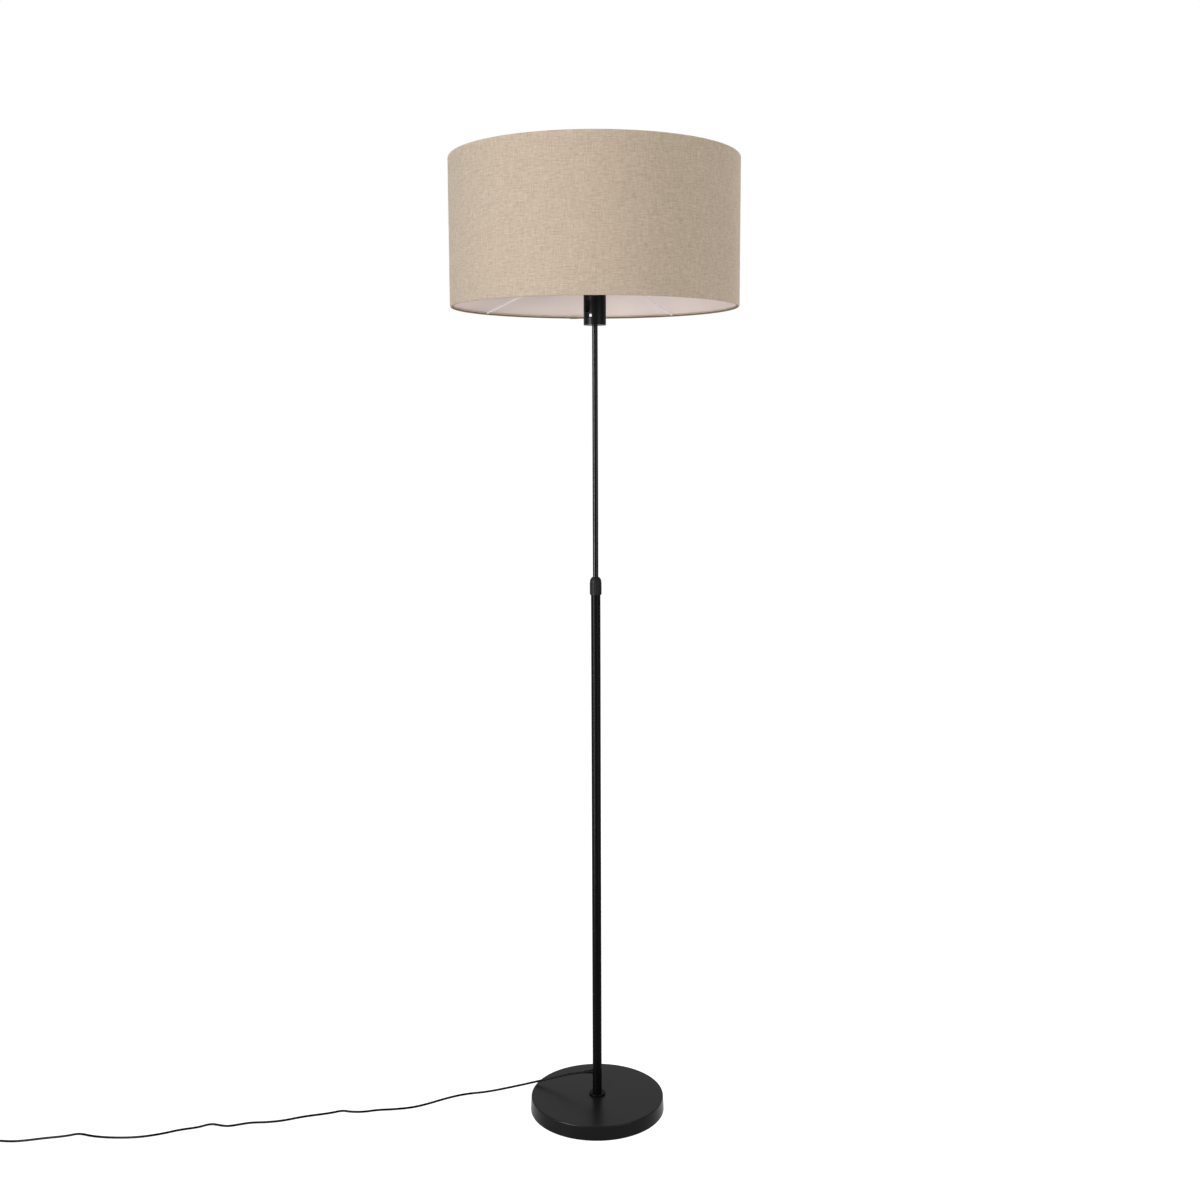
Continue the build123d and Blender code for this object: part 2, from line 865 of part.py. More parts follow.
def coil_path():
    """Spiral in, climb a layer in half a turn and spiral out, with straight ends."""
    crossings = coil_crossings()
    edges = [Line(crossings[0] + Vector(coil_entry_run, 0, 0), crossings[0])]
    for i, (start, end) in enumerate(zip(crossings, crossings[1:])):
        side = -1 if i % 2 == 0 else 1
        middle = (start + end) / 2 + Vector(side * (end - start).length / 2, 0, 0)
        edges.append(ThreePointArc(start, middle, end))
    edges.append(Line(crossings[-1], crossings[-1] - Vector(coil_exit_run, 0, 0)))
    return Wire(edges)


def least_gap(path):
    """Smallest gap between strands of a cord, measured on points along it."""
    step = 1.0
    apart = 30.0
    count = int(path.length / step)
    points = [path @ (i / count) for i in range(count + 1)]
    skip = int(apart / step)
    least = path.length
    for i, point in enumerate(points):
        for other in points[i + skip:]:
            least = min(least, (point - other).length)
    return least - cord_diameter


def make_cord_coil():
    path = coil_path()
    print(f"  least gap {least_gap(path):.2f} mm")
    return cord_tube(path)


def make_cord_tie():
    outer_strand = coil_radius - coil_step / 2
    inner_strand = outer_strand - (coil_half_turns - 1) * coil_step - coil_climb_inset / 2
    inside_width = outer_strand - inner_strand + cord_diameter + 2 * tie_side_gap
    inside_height = coil_pitch + cord_diameter + 2 * tie_gap
    width = inside_width + 2 * tie_thickness
    height = inside_height + 2 * tie_thickness
    band = RectangleRounded(width, height, tie_corner + tie_thickness)
    band -= RectangleRounded(inside_width, inside_height, tie_corner)
    middle_x = coil_centre_x - (outer_strand + inner_strand) / 2
    middle_z = (coil_low + coil_high) / 2
    plane = Plane(origin=(middle_x, coil_centre_y, middle_z), x_dir=(1, 0, 0), z_dir=(0, -1, 0))
    return plane * extrude(band, tie_width / 2, both=True)


def plug_place():
    """Place of the plug, with its X axis from the end of the cord towards the pins."""
    end = coil_crossings()[-1] - Vector(coil_exit_run, 0, 0)
    return Plane(origin=end, x_dir=(-1, 0, 0), z_dir=(0, 0, 1))


def make_plug_body():
    rear = plug_rear_width / 2
    full = plug_width / 2
    nose = plug_nose_width / 2
    outline = Polyline(
        (0, -rear),
        (plug_shoulder, -full),
        (plug_length - plug_nose, -full),
        (plug_length, -nose),
        (plug_length, nose),
        (plug_length - plug_nose, full),
        (plug_shoulder, full),
        (0, rear),
        close=True,
    )
    block = extrude(make_face(outline), coil_high, both=True)
    block = fillet(block.edges().filter_by(Plane.XY), plug_edge_radius)
    boot = Cone(boot_tip_diameter / 2, boot_diameter / 2, boot_length, align=from_bottom)
    boot = Rot(0, 90, 0) * boot
    return plug_place() * (Pos(boot_length, 0, 0) * block + boot)


def make_plug_pins():
    pin = Cylinder(pin_diameter / 2, pin_length, align=from_bottom)
    pin = chamfer(rims(pin, pin_diameter / 2, pin_length), pin_chamfer)
    face = boot_length + plug_length
    pins = [
        plug_place() * Pos(face, side * pin_spacing / 2, 0) * Rot(0, 90, 0) * pin
        for side in (-1, 1)
    ]
    return Compound(pins)


# Every node and the function that makes it
pieces = {
    "base_cover": make_base_cover,
    "base_weight": make_base_weight,
    "base_pad": make_base_pad,
    "base_nipple": make_base_nipple,
    "base_washer": make_base_washer,
    "base_nut": make_base_nut,
    "foot_insert": make_foot_insert,
    "foot_collar": make_foot_collar,
    "lower_tube": make_lower_tube,
    "cord_bush": make_cord_bush,
    "tube_ferrule": make_tube_ferrule,
    "collet": make_collet,
    "lock_collar": make_lock_collar,
    "guide_bush": make_guide_bush,
    "guide_clips": make_guide_clips,
    "upper_tube": make_upper_tube,
    "mast_socket": make_mast_socket,
    "socket_screw": make_socket_screw,
    "holder_housing": make_holder_housing,
    "switch_bezel": make_switch_bezel,
    "switch_body": make_switch_body,
    "switch_pin": make_switch_pin,
    "switch_rocker": make_switch_rocker,
    "holder_core": make_holder_core,
    "holder_skirt": make_holder_skirt,
    "shade_rest_ring": lambda: make_shade_ring(rest_ring_bottom),
    "shade_lock_ring": lambda: make_shade_ring(hub_top),
    "screw_shell": make_screw_shell,
    "centre_contact": make_centre_contact,
    "bulb_contact": make_bulb_contact,
    "bulb_cap": make_bulb_cap,
    "bulb_globe": make_bulb_globe,
    "spider_hub": make_spider_hub,
    "spider_spokes": make_spider_spokes,
    "shade_bottom_ring": lambda: make_wire_ring(low_wire_height),
    "shade_top_ring": lambda: make_wire_ring(high_wire_height),
    "shade_liner": make_shade_liner,
    "shade_fabric": make_shade_fabric,
    "inner_lead": make_inner_lead,
    "slack_lead": make_slack_lead,
    "cord_lead": make_cord_lead,
    "cord_coil": make_cord_coil,
    "cord_tie": make_cord_tie,
    "plug_body": make_plug_body,
    "plug_pins": make_plug_pins,
}

os.makedirs("parts", exist_ok=True)
for name, make in pieces.items():
    print(name)
    export_step(make(), f"parts/{name}.step")
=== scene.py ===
import math

import bmesh
import bpy
from bpy.props import FloatProperty, FloatVectorProperty, PointerProperty
from mathutils import Matrix, Vector


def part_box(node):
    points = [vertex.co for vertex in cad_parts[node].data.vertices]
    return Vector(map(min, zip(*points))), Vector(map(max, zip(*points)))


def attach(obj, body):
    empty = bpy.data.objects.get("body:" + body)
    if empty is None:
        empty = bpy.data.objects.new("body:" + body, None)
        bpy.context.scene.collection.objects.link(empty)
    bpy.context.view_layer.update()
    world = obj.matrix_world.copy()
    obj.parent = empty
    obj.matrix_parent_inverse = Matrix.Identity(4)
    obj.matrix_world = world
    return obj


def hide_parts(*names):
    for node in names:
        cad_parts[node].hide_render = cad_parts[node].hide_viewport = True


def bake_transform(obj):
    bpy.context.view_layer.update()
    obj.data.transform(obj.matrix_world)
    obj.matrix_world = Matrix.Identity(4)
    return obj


bl_info = {
    "name": "Linen drum floor lamp",
    "version": (1, 0, 0),
    "blender": (4, 5, 0),
    "location": "View3D > Sidebar > Lamp",
    "description": "Finishes, shade, cord and stage of a height-adjustable floor lamp",
    "category": "Add Mesh",
}

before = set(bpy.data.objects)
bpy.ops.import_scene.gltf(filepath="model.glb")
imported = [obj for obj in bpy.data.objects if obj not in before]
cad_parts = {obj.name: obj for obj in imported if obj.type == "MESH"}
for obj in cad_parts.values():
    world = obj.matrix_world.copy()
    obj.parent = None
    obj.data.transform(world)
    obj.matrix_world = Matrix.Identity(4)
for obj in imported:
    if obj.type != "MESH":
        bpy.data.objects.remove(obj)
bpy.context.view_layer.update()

# Places read from the solids, in metres
MM = 0.001
base_low, base_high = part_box("base_cover")
foot_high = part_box("foot_collar")[1]
pole_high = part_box("lower_tube")[1]
collar_low, collar_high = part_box("lock_collar")
fabric_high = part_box("shade_fabric")[1]
liner_low, liner_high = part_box("shade_liner")
ring_low, ring_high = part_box("shade_bottom_ring")
top_ring_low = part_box("shade_top_ring")[0]
hub_low, hub_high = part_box("spider_hub")
plug_low, plug_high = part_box("plug_body")
pins_low, pins_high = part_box("plug_pins")
wire_radius = (ring_high.z - ring_low.z) / 2
ring_radius = ring_high.x - wire_radius
ring_height = (ring_low.z + ring_high.z) / 2
plug_middle = (plug_low.y + plug_high.y) / 2
plug_height = (plug_low.z + plug_high.z) / 2

# Grained finishes: roughness and its spread, grains in a metre, depth of the grain, specular level
GRAINS = {
    "satin_black_paint": (0.13, 0.03, 900, 0.0008 * MM, 0.08),
    "matt_black_paint": (0.34, 0.08, 900, 0.003 * MM, 0.022),
    "textured_black_paint": (0.3, 0.12, 520, 0.05 * MM, 0.064),
    "lampholder_paint": (0.33, 0.12, 900, 0.003 * MM, 0.066),
    "moulded_black_plastic": (0.5, 0.12, 2400, 0.006 * MM, 0.045),
    "switch_frame": (0.35, 0.12, 2600, 0.006 * MM, 0.05),
    "switch_rocker": (0.4, 0.12, 2600, 0.006 * MM, 0.018),
    "plug_plastic": (0.4, 0.12, 1900, 0.03 * MM, 0.2),
    "cord_sheath": (0.36, 0.1, 1500, 0.03 * MM, 0.028),
    "bush_rubber": (0.5, 0.12, 1500, 0.02 * MM, 0.02),
    "pad_rubber": (0.8, 0.12, 900, 0.1 * MM, 0.3),
    "rough_iron": (0.7, 0.12, 400, 0.4 * MM, 0.5),
    "natural_nylon": (0.5, 0.12, 900, 0.04 * MM, 0.5),
    "white_nylon_screw": (0.4, 0.12, 1500, 0.02 * MM, 0.5),
    "white_socket": (0.45, 0.12, 700, 0.05 * MM, 0.5),
    "dark_glass": (0.15, 0.12, 600, 0.03 * MM, 0.5),
    "cream_wire": (0.45, 0.12, 900, 0.03 * MM, 0.12),
}
GRAIN_TONE = (0.85, 1.15)  # darkest and lightest, of the colour
BASE_TONE = (0.6, 1.4)
FINE_SHARE = 0.6  # of the fine grain in the tone, beside broad grain
BROAD_GRAIN = 25  # times as broad as the fine grain
IRON_METAL = 0.6
IRON_GREY = (0.15, 0.15, 0.155)
PAD_GREY = (0.03, 0.03, 0.03)
NYLON_WHITE = (0.80, 0.78, 0.72)
SCREW_WHITE = (0.88, 0.88, 0.86)
SOCKET_WHITE = (0.84, 0.83, 0.80)
GLASS_BLACK = (0.05, 0.045, 0.06)

# Plated metals: colour and roughness
PLATING = {
    "zinc_plate": ((0.62, 0.63, 0.65), 0.36),
    "zinc_pole_fittings": ((0.62, 0.63, 0.65), 0.34),
    "zinc_holder_fittings": ((0.6, 0.61, 0.63), 0.38),
    "zinc_wire_rings": ((0.6, 0.61, 0.63), 0.4),
    "nickel_socket": ((0.72, 0.69, 0.62), 0.28),
    "nickel_cap": ((0.74, 0.71, 0.65), 0.25),
    "nickel_pins": ((0.74, 0.71, 0.65), 0.25),
}
TURNING_MARKS = (40, 40, 4000)  # in a metre, on each axis
PLATE_CLOUDS = 120  # in a metre
PLATE_TONE = (0.8, 1.12)
PLATE_SPREAD = (-0.1, 0.12)  # of the roughness
PLATE_DEPTH = 0.02 * MM

# Liner film, opal glass and woven tie
FILM_WAVES = (14, 5, 1)  # in a metre, round and up
FILM_WAVE_DEPTH = 0.6 * MM
FILM_WAVE_STRENGTH = 0.5
FILM_SPECKS = 900
FILM_CLOUDS = 12
FILM_TONE = (0.97, 1.03)
FILM_ROUGHNESS = (0.36, 0.48)
OPAL_TONES = ((0.83, 0.83, 0.81), (0.89, 0.89, 0.87))
OPAL_CLOUDS = 70
TIE_RIBS = (1500, 300, 1500)
TIE_TONE = (0.6, 2.2)
TIE_DEPTH = 0.15 * MM

# Base shell
SHELL_DRAFT = 1.4 * MM
SHELL_WALL = 1.5 * MM
SHELL_HOLE = 5.3 * MM  # radius, for the stud
SHELL_EDGE = 1.8 * MM  # rounding of the upper edge
SHELL_INNER_EDGE = 0.4 * MM
SHELL_BAND = 6 * MM  # ring of faces that keeps the top flat beside that edge
SHELL_HEM = 0.5 * MM  # rounding of the lower edge
SHELL_HEM_HEIGHT = 2 * MM
SHELL_HEM_FLARE = 0.1 * MM
SHELL_SEGMENTS = 192

# Shade fabric
FABRIC_THICKNESS = 0.6 * MM
LINER_THICKNESS = 0.4 * MM
HEM_WRAP = 250.0  # degrees round each wire ring
HEM_ROWS = 18
WALL_ROWS = 20
SHADE_COLUMNS = 400
SHEET_WAVE = 0.25 * MM
SHEET_WAVE_SCALE = 16.0  # waves in a metre
SEAM_OVERLAP = 14 * MM
SEAM_RAMP = 3 * MM
SEAM_GAP = 0.05 * MM
GLUED_AND_SHADED_HEM = (3.0 * MM, 7.7 * MM)  # darker stretch of each hem, from the cloth's cut edge: glue, and painted shade on the roll's underside
HEM_GLUE_SHADE_FADE = 0.7 * MM

# Weave of the linen: tone and relief are sums of the yarns' unevenness, their fibres and their height; the
# height's share of the tone is painted shade, darker between the yarns and where they go under
YARN_WANDER = 1.4  # most that a yarn strays, in pitches
WANDER_SCALE = 60.0  # strays in a metre
UNDER_HEIGHT = 0.55  # of a yarn that goes under, as a share of one that goes over
YARN_CHANGES = 50.0  # changes of tone in a metre of yarn
YARN_APART = 7.13  # keeps the tones of neighbouring yarns unlike
SLUB_SCALES = ((500, 120, 1), (110, 540, 1))  # thick places of warp and weft, in a metre
SLUB_SHARES = (0.75, 1.35)  # how much warp and weft slubs show
FIBRE_SCALE = 2600.0  # fibres in a metre
TONE_START = -1.145
UNEVEN_TONE = 0.68
FIBRE_TONE = 0.2
HEIGHT_SHADE_TONE = 0.35
UNEVEN_RELIEF = 1.1
FIBRE_RELIEF = 0.15
WEAVE_DEPTH = 0.3 * MM
WEAVE_STRENGTH = 0.9

# Spider of the shade
SPOKE_COUNT = 4
SPOKE_ANGLE = 36.0  # first spoke, from the back towards +X
SPOKE_BITE = 0.3 * MM
SPOKE_SIDES = 20
WELD_SIZE = 1.25  # of the wire's radius

# Twist collar
COLLAR_RIBS = 20
RIB_DEPTH = 0.35 * MM
RIB_DIAMETER = 1.7 * MM
RIB_MARGIN = 2.0 * MM
RIB_SIDES = 14
DOME_HEIGHT = 8 * MM
DOME_RIM = 5.7 * MM
DOME_STEPS = 14
MOUTH_RADIUS = 5.3 * MM
COLLAR_BORE = 8.8 * MM
COLLAR_CEILING = 7.7 * MM  # below the top
COLLET_ROOM = 6.7 * MM
COLLAR_EDGE = 1.0 * MM
COLLAR_INNER_EDGE = 0.3 * MM
COLLAR_SEGMENTS = 96

# Cord: the route's points in millimetres, as in the solids
CORD_EXIT_HEIGHT = 69.0  # on the pole's outside
CORD_EXIT_ANGLE = 25.0  # from -X towards the back
CORD_EXIT_DROP = 15.0
CORD_START = 3.89  # along the exit, from the pole's middle
CORD_EXIT_RUN = 43.0
CORD_ROUTE = [
    (-79.0, 33.0, 43.5), (-118.0, 41.0, 30.0), (-165.0, 43.5, 18.0), (-212.0, 46.5, 7.0),
    (-250.0, 50.0, 2.0), (-284.0, 34.0, 2.0), (-320.0, 10.0, 2.0), (-346.0, -3.0, 2.0),
    (-380.0, -9.5, 2.0), (-410.0, -11.5, 2.0), (-434.0, -19.0, 2.0), (-458.0, -18.5, 2.0),
    (-475.0, -13.0, 2.0), (-494.0, -23.0, 2.0), (-543.0, -35.5, 2.0), (-572.0, -49.0, 2.0),
    (-602.0, -56.0, 2.0), (-634.0, -57.0, 2.0), (-652.0, -63.5, 2.0), (-672.0, -70.5, 2.0),
    (-687.0, -67.0, 2.0), (-706.0, -60.5, 2.0), (-725.0, -74.0, 2.0), (-756.0, -82.0, 2.0),
    (-785.0, -97.0, 2.0), (-820.0, -108.0, 2.0), (-860.0, -110.5, 2.0), (-905.0, -105.5, 2.0),
    (-934.0, -93.5, 2.0), (-953.0, -103.5, 2.0), (-990.0, -110.5, 2.0), (-1022.0, -119.5, 2.2),
    (-1044.0, -123.0, 2.5), (-1072.0, -120.0, 2.8),
]
COIL_CENTRE = (-1122.0, -91.5)
COIL_RADIUS = 29.5
COIL_STEP = 2.3  # radius lost in each half turn
COIL_HALF_TURNS = 5  # in the lower layer
COIL_CLIMB_INSET = 0.7
COIL_HEIGHTS = (2.8, 7.4)
COIL_ENTRY_RUN = 4.0
COIL_EXIT_RUN = 12.0
COIL_POINTS = 8  # in each half turn
CORD_RINGS = 6  # of the mesh, from point to point
SPARE_RINGS = 16  # the same in the lead up the pole, whose points are further apart
SPARE_BEND = 8.0  # from the exit's line up to the straight run in the pole

# Plug, measured from the end of the cord towards the pins, in millimetres
PLUG_SECTIONS = [
    # distance, half width, half thickness, squareness
    (0.0, 2.6, 2.6, 2.0),
    (0.6, 3.2, 3.2, 2.0),
    (18.0, 4.8, 4.8, 2.0),
    (20.5, 6.2, 5.6, 2.3),
    (23.0, 8.3, 6.7, 3.0),
    (30.0, 11.3, 7.3, 3.6),
    (37.0, 14.6, 7.4, 4.0),
    (42.0, 16.8, 7.4, 4.4),
    (46.0, 17.45, 7.4, 4.6),
    (51.0, 17.2, 7.4, 4.6),
    (53.6, 16.0, 7.2, 4.4),
    (55.2, 14.9, 6.6, 4.2),
    (56.0, 14.0, 5.8, 4.0),
]
PLUG_ROUND = 40  # points round each section
GRIP_RIBS = 5
GRIP_PITCH = 3.2 * MM
GRIP_START = 37.0 * MM
GRIP_HALF_LENGTH = 8.0 * MM
GRIP_RADIUS = 0.8 * MM
GRIP_SIDES = 12
BOOT_RINGS = 5
BOOT_PITCH = 2.9 * MM
BOOT_START = 4.0 * MM
BOOT_RADIUS = 3.3 * MM  # of the first ring
BOOT_GROWTH = 0.085  # of that radius, from ring to ring
BOOT_BEAD = 0.7 * MM
BOOT_STEPS = 32
BOOT_SIDES = 8
PIN_SLEEVE = 10 * MM
PIN_SLEEVE_WALL = 0.12 * MM
PIN_SIDES = 32

# Stage, in metres, apart from the powers of the lights, which are settings
STAGE_MIDDLE = (0.0, 0.0, 1.15)
LIGHTS = {
    # place, aim, width and height, whether it lights matt faces, whether glossy faces mirror it
    "key": ((-1.38, -2.96, 1.38), (0.0, 0.0, 1.38), (0.9, 0.6), True, False),
    "fill": ((2.75, 1.0, 1.5), STAGE_MIDDLE, (1.2, 2.2), True, False),
    "top": ((-0.3, -0.6, 4.2), STAGE_MIDDLE, (2.4, 2.4), True, True),
    "back": ((0.9, 3.0, 2.3), STAGE_MIDDLE, (2.0, 2.0), True, False),
    "shine": ((-1.0, -0.84, 1.15), STAGE_MIDDLE, (0.4, 2.3), False, True),
    "glint": ((1.01, -0.97, 1.15), STAGE_MIDDLE, (0.6, 2.3), False, True),
}
WHITE = (1.0, 1.0, 1.0, 1.0)
FLOOR_RADIUS = 14.0
FLOOR_SEGMENTS = 96
FLOOR_DROP = 0.2 * MM  # below the pad
FLOOR_GLOW = 1.56
FLOOR_GLOW_SHARE = 0.6

# Camera solved on the photograph, for a square picture
CAMERA_PLACE = (0.00764, -2.4397, 1.2699)
CAMERA_PITCH = 7.317  # degrees below level
CAMERA_ROLL = -0.16
CAMERA_LENS = 41.4
CAMERA_SENSOR = 36.0

# Settings that a user would change
COLOUR = {"subtype": "COLOR", "min": 0, "max": 1}
LENGTH = {"subtype": "DISTANCE", "unit": "LENGTH"}
POWER = {"unit": "POWER"}


class LampShadeSettings(bpy.types.PropertyGroup):
    linen_dark: FloatVectorProperty(
        name="Linen shadow", description="Colour between and under the threads",
        default=(0.355, 0.279, 0.205), **COLOUR)
    linen_light: FloatVectorProperty(
        name="Linen thread", description="Colour of the raised threads",
        default=(0.63, 0.508, 0.385), **COLOUR)
    # Hem: colour of the glue in the hem's roll, darkened further as painted shade of the roll's underside
    hem_glue_and_shade_colour: FloatVectorProperty(
        name="Hem", description="Glued roll inside the shade's edges", default=(0.18, 0.122, 0.066), **COLOUR)
    yarn_pitch: FloatProperty(
        name="Yarn pitch", description="Distance from thread to thread", default=1.5 * MM, **LENGTH)
    liner_colour: FloatVectorProperty(
        name="Liner", description="Film inside the shade", default=(0.83, 0.725, 0.685), **COLOUR)
    wire_colour: FloatVectorProperty(
        name="Spider", description="Coating of hub and spokes", default=(0.84, 0.82, 0.775), **COLOUR)
    seam_angle: FloatProperty(
        name="Seam", description="Place of the seam, from the back towards the right", subtype="ANGLE",
        default=math.radians(-8.0))


class LampMetalSettings(bpy.types.PropertyGroup):
    paint_colour: FloatVectorProperty(
        name="Paint", description="Paint of tubes and lampholder", default=(0.003, 0.003, 0.0036), **COLOUR)
    base_colour: FloatVectorProperty(
        name="Textured paint", description="Paint of the base", default=(0.0062, 0.0062, 0.0068), **COLOUR)
    plastic_colour: FloatVectorProperty(
        name="Plastic", description="Moulded black pieces", default=(0.008, 0.008, 0.009), **COLOUR)


class LampCordSettings(bpy.types.PropertyGroup):
    diameter: FloatProperty(
        name="Cord diameter", description="Outside of the sheath", default=4 * MM, **LENGTH)
    length: FloatProperty(name="Cord length", description="From pole to plug", default=2.06, **LENGTH)
    colour: FloatVectorProperty(
        name="Cord", description="Sheath of the cord", default=(0.0026, 0.0023, 0.003), **COLOUR)


class LampStageSettings(bpy.types.PropertyGroup):
    floor_colour: FloatVectorProperty(
        name="Floor", description="Pale studio floor", default=(0.8, 0.8, 0.8), **COLOUR)
    key_power: FloatProperty(name="Key", description="Soft light on the left", default=53.0, **POWER)
    fill_power: FloatProperty(name="Fill", description="Soft light on the right", default=46.0, **POWER)
    top_power: FloatProperty(name="Top", description="Soft light from above", default=44.0, **POWER)
    back_power: FloatProperty(name="Back", description="Soft light from behind", default=22.0, **POWER)
    shine_power: FloatProperty(
        name="Shine", description="Panel on the left that only glossy faces mirror", default=150.0, **POWER)
    glint_power: FloatProperty(
        name="Glint", description="Panel on the right that only glossy faces mirror", default=30.0, **POWER)
    ambient: FloatProperty(name="Ambient", description="Light from all round", default=0.34)


# Node trees
class Value:
    """An output in a node tree. Sums, differences, products and quotients of values become nodes."""

    def __init__(self, net, socket):
        self.net = net
        self.socket = socket

    def __add__(self, other):
        return self.net.math("ADD", self, other)

    def __sub__(self, other):
        return self.net.math("SUBTRACT", self, other)

    def __rsub__(self, other):
        return self.net.math("SUBTRACT", other, self)

    def __mul__(self, other):
        return self.net.math("MULTIPLY", self, other)

    def __truediv__(self, other):
        return self.net.math("DIVIDE", self, other)

    def __rtruediv__(self, other):
        return self.net.math("DIVIDE", other, self)


class Net:
    """A node tree, built node by node."""

    def __init__(self, tree):
        self.tree = tree

    def feed(self, socket, value):
        """Link a socket to a value of the tree, or set it to a plain one."""
        if isinstance(value, Value):
            self.tree.links.new(value.socket, socket)
        else:
            socket.default_value = value

    def node(self, kind, inputs=None, **settings):
        node = self.tree.nodes.new(kind)
        for key, value in settings.items():
            setattr(node, key, value)
        for key, value in (inputs or {}).items():
            self.feed(node.inputs[key], value)
        return node

    def value(self, kind, output, inputs=None, **settings):
        """One output of a new node."""
        return Value(self, self.node(kind, inputs, **settings).outputs[output])

    def math(self, operation, *terms, **settings):
        return self.value("ShaderNodeMath", 0, dict(enumerate(terms)), operation=operation, **settings)

    def split(self, vector):
        outputs = self.node("ShaderNodeSeparateXYZ", {"Vector": vector}).outputs
        return {axis: Value(self, outputs[axis]) for axis in "XYZ"}

    def vector(self, x=0.0, y=0.0, z=0.0):
        return self.value("ShaderNodeCombineXYZ", 0, {"X": x, "Y": y, "Z": z})

    def noise(self, vector, scale=1.0, detail=2.0, output="Fac"):
        return self.value("ShaderNodeTexNoise", output, {"Vector": vector, "Scale": scale, "Detail": detail})

    def between(self, value, low, high):
        """Spread a value from 0 to 1 over another range."""
        return self.value("ShaderNodeMapRange", "Result", {"Value": value, "To Min": low, "To Max": high})

    def seen(self):
        """1 to the eye, in reflections and through glass, and 0 as light."""
        rays = self.node("ShaderNodeLightPath").outputs
        kinds = ("Is Camera Ray", "Is Glossy Ray", "Is Transmission Ray")
        eye, mirror, glass = [Value(self, rays[kind]) for kind in kinds]
        return self.math("MAXIMUM", self.math("MAXIMUM", eye, mirror), glass)


class Finish(Net):
    """One material: a Principled shader and the nodes that feed it."""

    def __init__(self, name, colour, roughness, metallic=0.0, specular=0.5):
        self.material = bpy.data.materials.new(name)
        self.material.use_nodes = True
        super().__init__(self.material.node_tree)
        self.shader = self.tree.nodes["Principled BSDF"]
        self.set("Base Color", (*colour, 1.0))
        self.set("Roughness", roughness)
        self.set("Metallic", metallic)
        self.set("Specular IOR Level", specular)

    def set(self, socket, value):
        self.feed(self.shader.inputs[socket], value)

    def place(self):
        return self.value("ShaderNodeTexCoord", "Object")

    def cloth(self):
        """Place on a rolled sheet, as it lay flat."""
        return self.value("ShaderNodeUVMap", "UV", uv_map="cloth")

    def stretch(self, vector, scale):
        return self.value("ShaderNodeMapping", "Vector", {"Vector": vector, "Scale": scale})

    def ramp(self, value, start, end):
        """Rise from 0 to 1 between two values."""
        inputs = {"Value": value, "From Min": start, "From Max": end}
        return self.value("ShaderNodeMapRange", "Result", inputs)

    def tint(self, value, dark, light):
        """Colour the surface from dark to light."""
        ramp = self.node("ShaderNodeValToRGB", {"Fac": value})
        ramp.color_ramp.elements[0].color = (*dark, 1.0)
        ramp.color_ramp.elements[1].color = (*light, 1.0)
        colour = Value(self, ramp.outputs["Color"])
        self.set("Base Color", colour)
        return colour

    def relief(self, height, depth, strength=1.0):
        inputs = {"Height": height, "Distance": depth, "Strength": strength}
        self.set("Normal", self.value("ShaderNodeBump", "Normal", inputs))


class Tree(Net):
    """A geometry node tree with named inputs for its sizes."""

    def __init__(self, name, sizes):
        super().__init__(bpy.data.node_groups.new(name, "GeometryNodeTree"))
        kinds = {int: "NodeSocketInt", float: "NodeSocketFloat"}
        interface = self.tree.interface
        interface.new_socket("Geometry", in_out="INPUT", socket_type="NodeSocketGeometry")
        self.values = {}
        for label, value in sizes.items():
            socket = interface.new_socket(label, in_out="INPUT", socket_type=kinds[type(value)])
            self.values[socket.identifier] = value
        paint = interface.new_socket("Material", in_out="INPUT", socket_type="NodeSocketMaterial")
        self.paint = paint.identifier
        interface.new_socket("Geometry", in_out="OUTPUT", socket_type="NodeSocketGeometry")
        self.inputs = {socket.name: Value(self, socket) for socket in self.node("NodeGroupInput").outputs}

    def share(self, part, whole):
        """A part of a whole, from 0 to 1."""
        return self.math("DIVIDE", part, whole, use_clamp=True)

    def row(self, count, start=(0.0, 0.0, 0.0), step=(0.0, 0.0, 0.0)):
        """Points in a straight row, or all in one place."""
        inputs = {"Count": count, "Start Location": start, "Offset": step}
        return self.value("GeometryNodeMeshLine", "Mesh", inputs)

    def repeat(self, points, shape, **turns):
        """A shape on every point."""
        inputs = {"Points": points, "Instance": shape} | turns
        return self.value("GeometryNodeInstanceOnPoints", "Instances", inputs)

    def line(self, start, end):
        return self.value("GeometryNodeCurvePrimitiveLine", "Curve", {"Start": start, "End": end})

    def circle(self, radius, steps):
        inputs = {"Resolution": steps, "Radius": radius}
        return self.value("GeometryNodeCurvePrimitiveCircle", "Curve", inputs)

    def tube(self, path, radius, sides, caps=True):
        inputs = {"Curve": path, "Profile Curve": self.circle(radius, sides), "Fill Caps": caps}
        return self.value("GeometryNodeCurveToMesh", "Mesh", inputs)

    def join(self, parts):
        join = self.node("GeometryNodeJoinGeometry")
        for part in parts:
            self.feed(join.inputs[0], part)
        return Value(self, join.outputs[0])

    def close(self, parts):
        """Join, realise and paint what the tree has made, and end it."""
        real = self.value("GeometryNodeRealizeInstances", 0, {"Geometry": self.join(parts)})
        paint = {"Geometry": real, "Material": self.inputs["Material"]}
        self.node("NodeGroupOutput", {"Geometry": self.value("GeometryNodeSetMaterial", 0, paint)})

    def grow(self, name, material, mesh=None, wall=0.0):
        """Run the tree on a mesh or on nothing, thicken an open sheet inwards, and return a plain mesh."""
        carrier = put(name, mesh or bpy.data.meshes.new(name))
        modifier = carrier.modifiers.new(name, "NODES")
        modifier.node_group = self.tree
        for identifier, value in self.values.items():
            modifier[identifier] = value
        modifier[self.paint] = material
        if wall:
            thicken = carrier.modifiers.new("wall", "SOLIDIFY")
            thicken.thickness = wall
            thicken.offset = -1.0
        return settle(carrier)


# Materials
def shades(colour, dark, light):
    """A darker and a lighter shade of a colour."""
    return [c * dark for c in colour], [min(1.0, c * light) for c in colour]


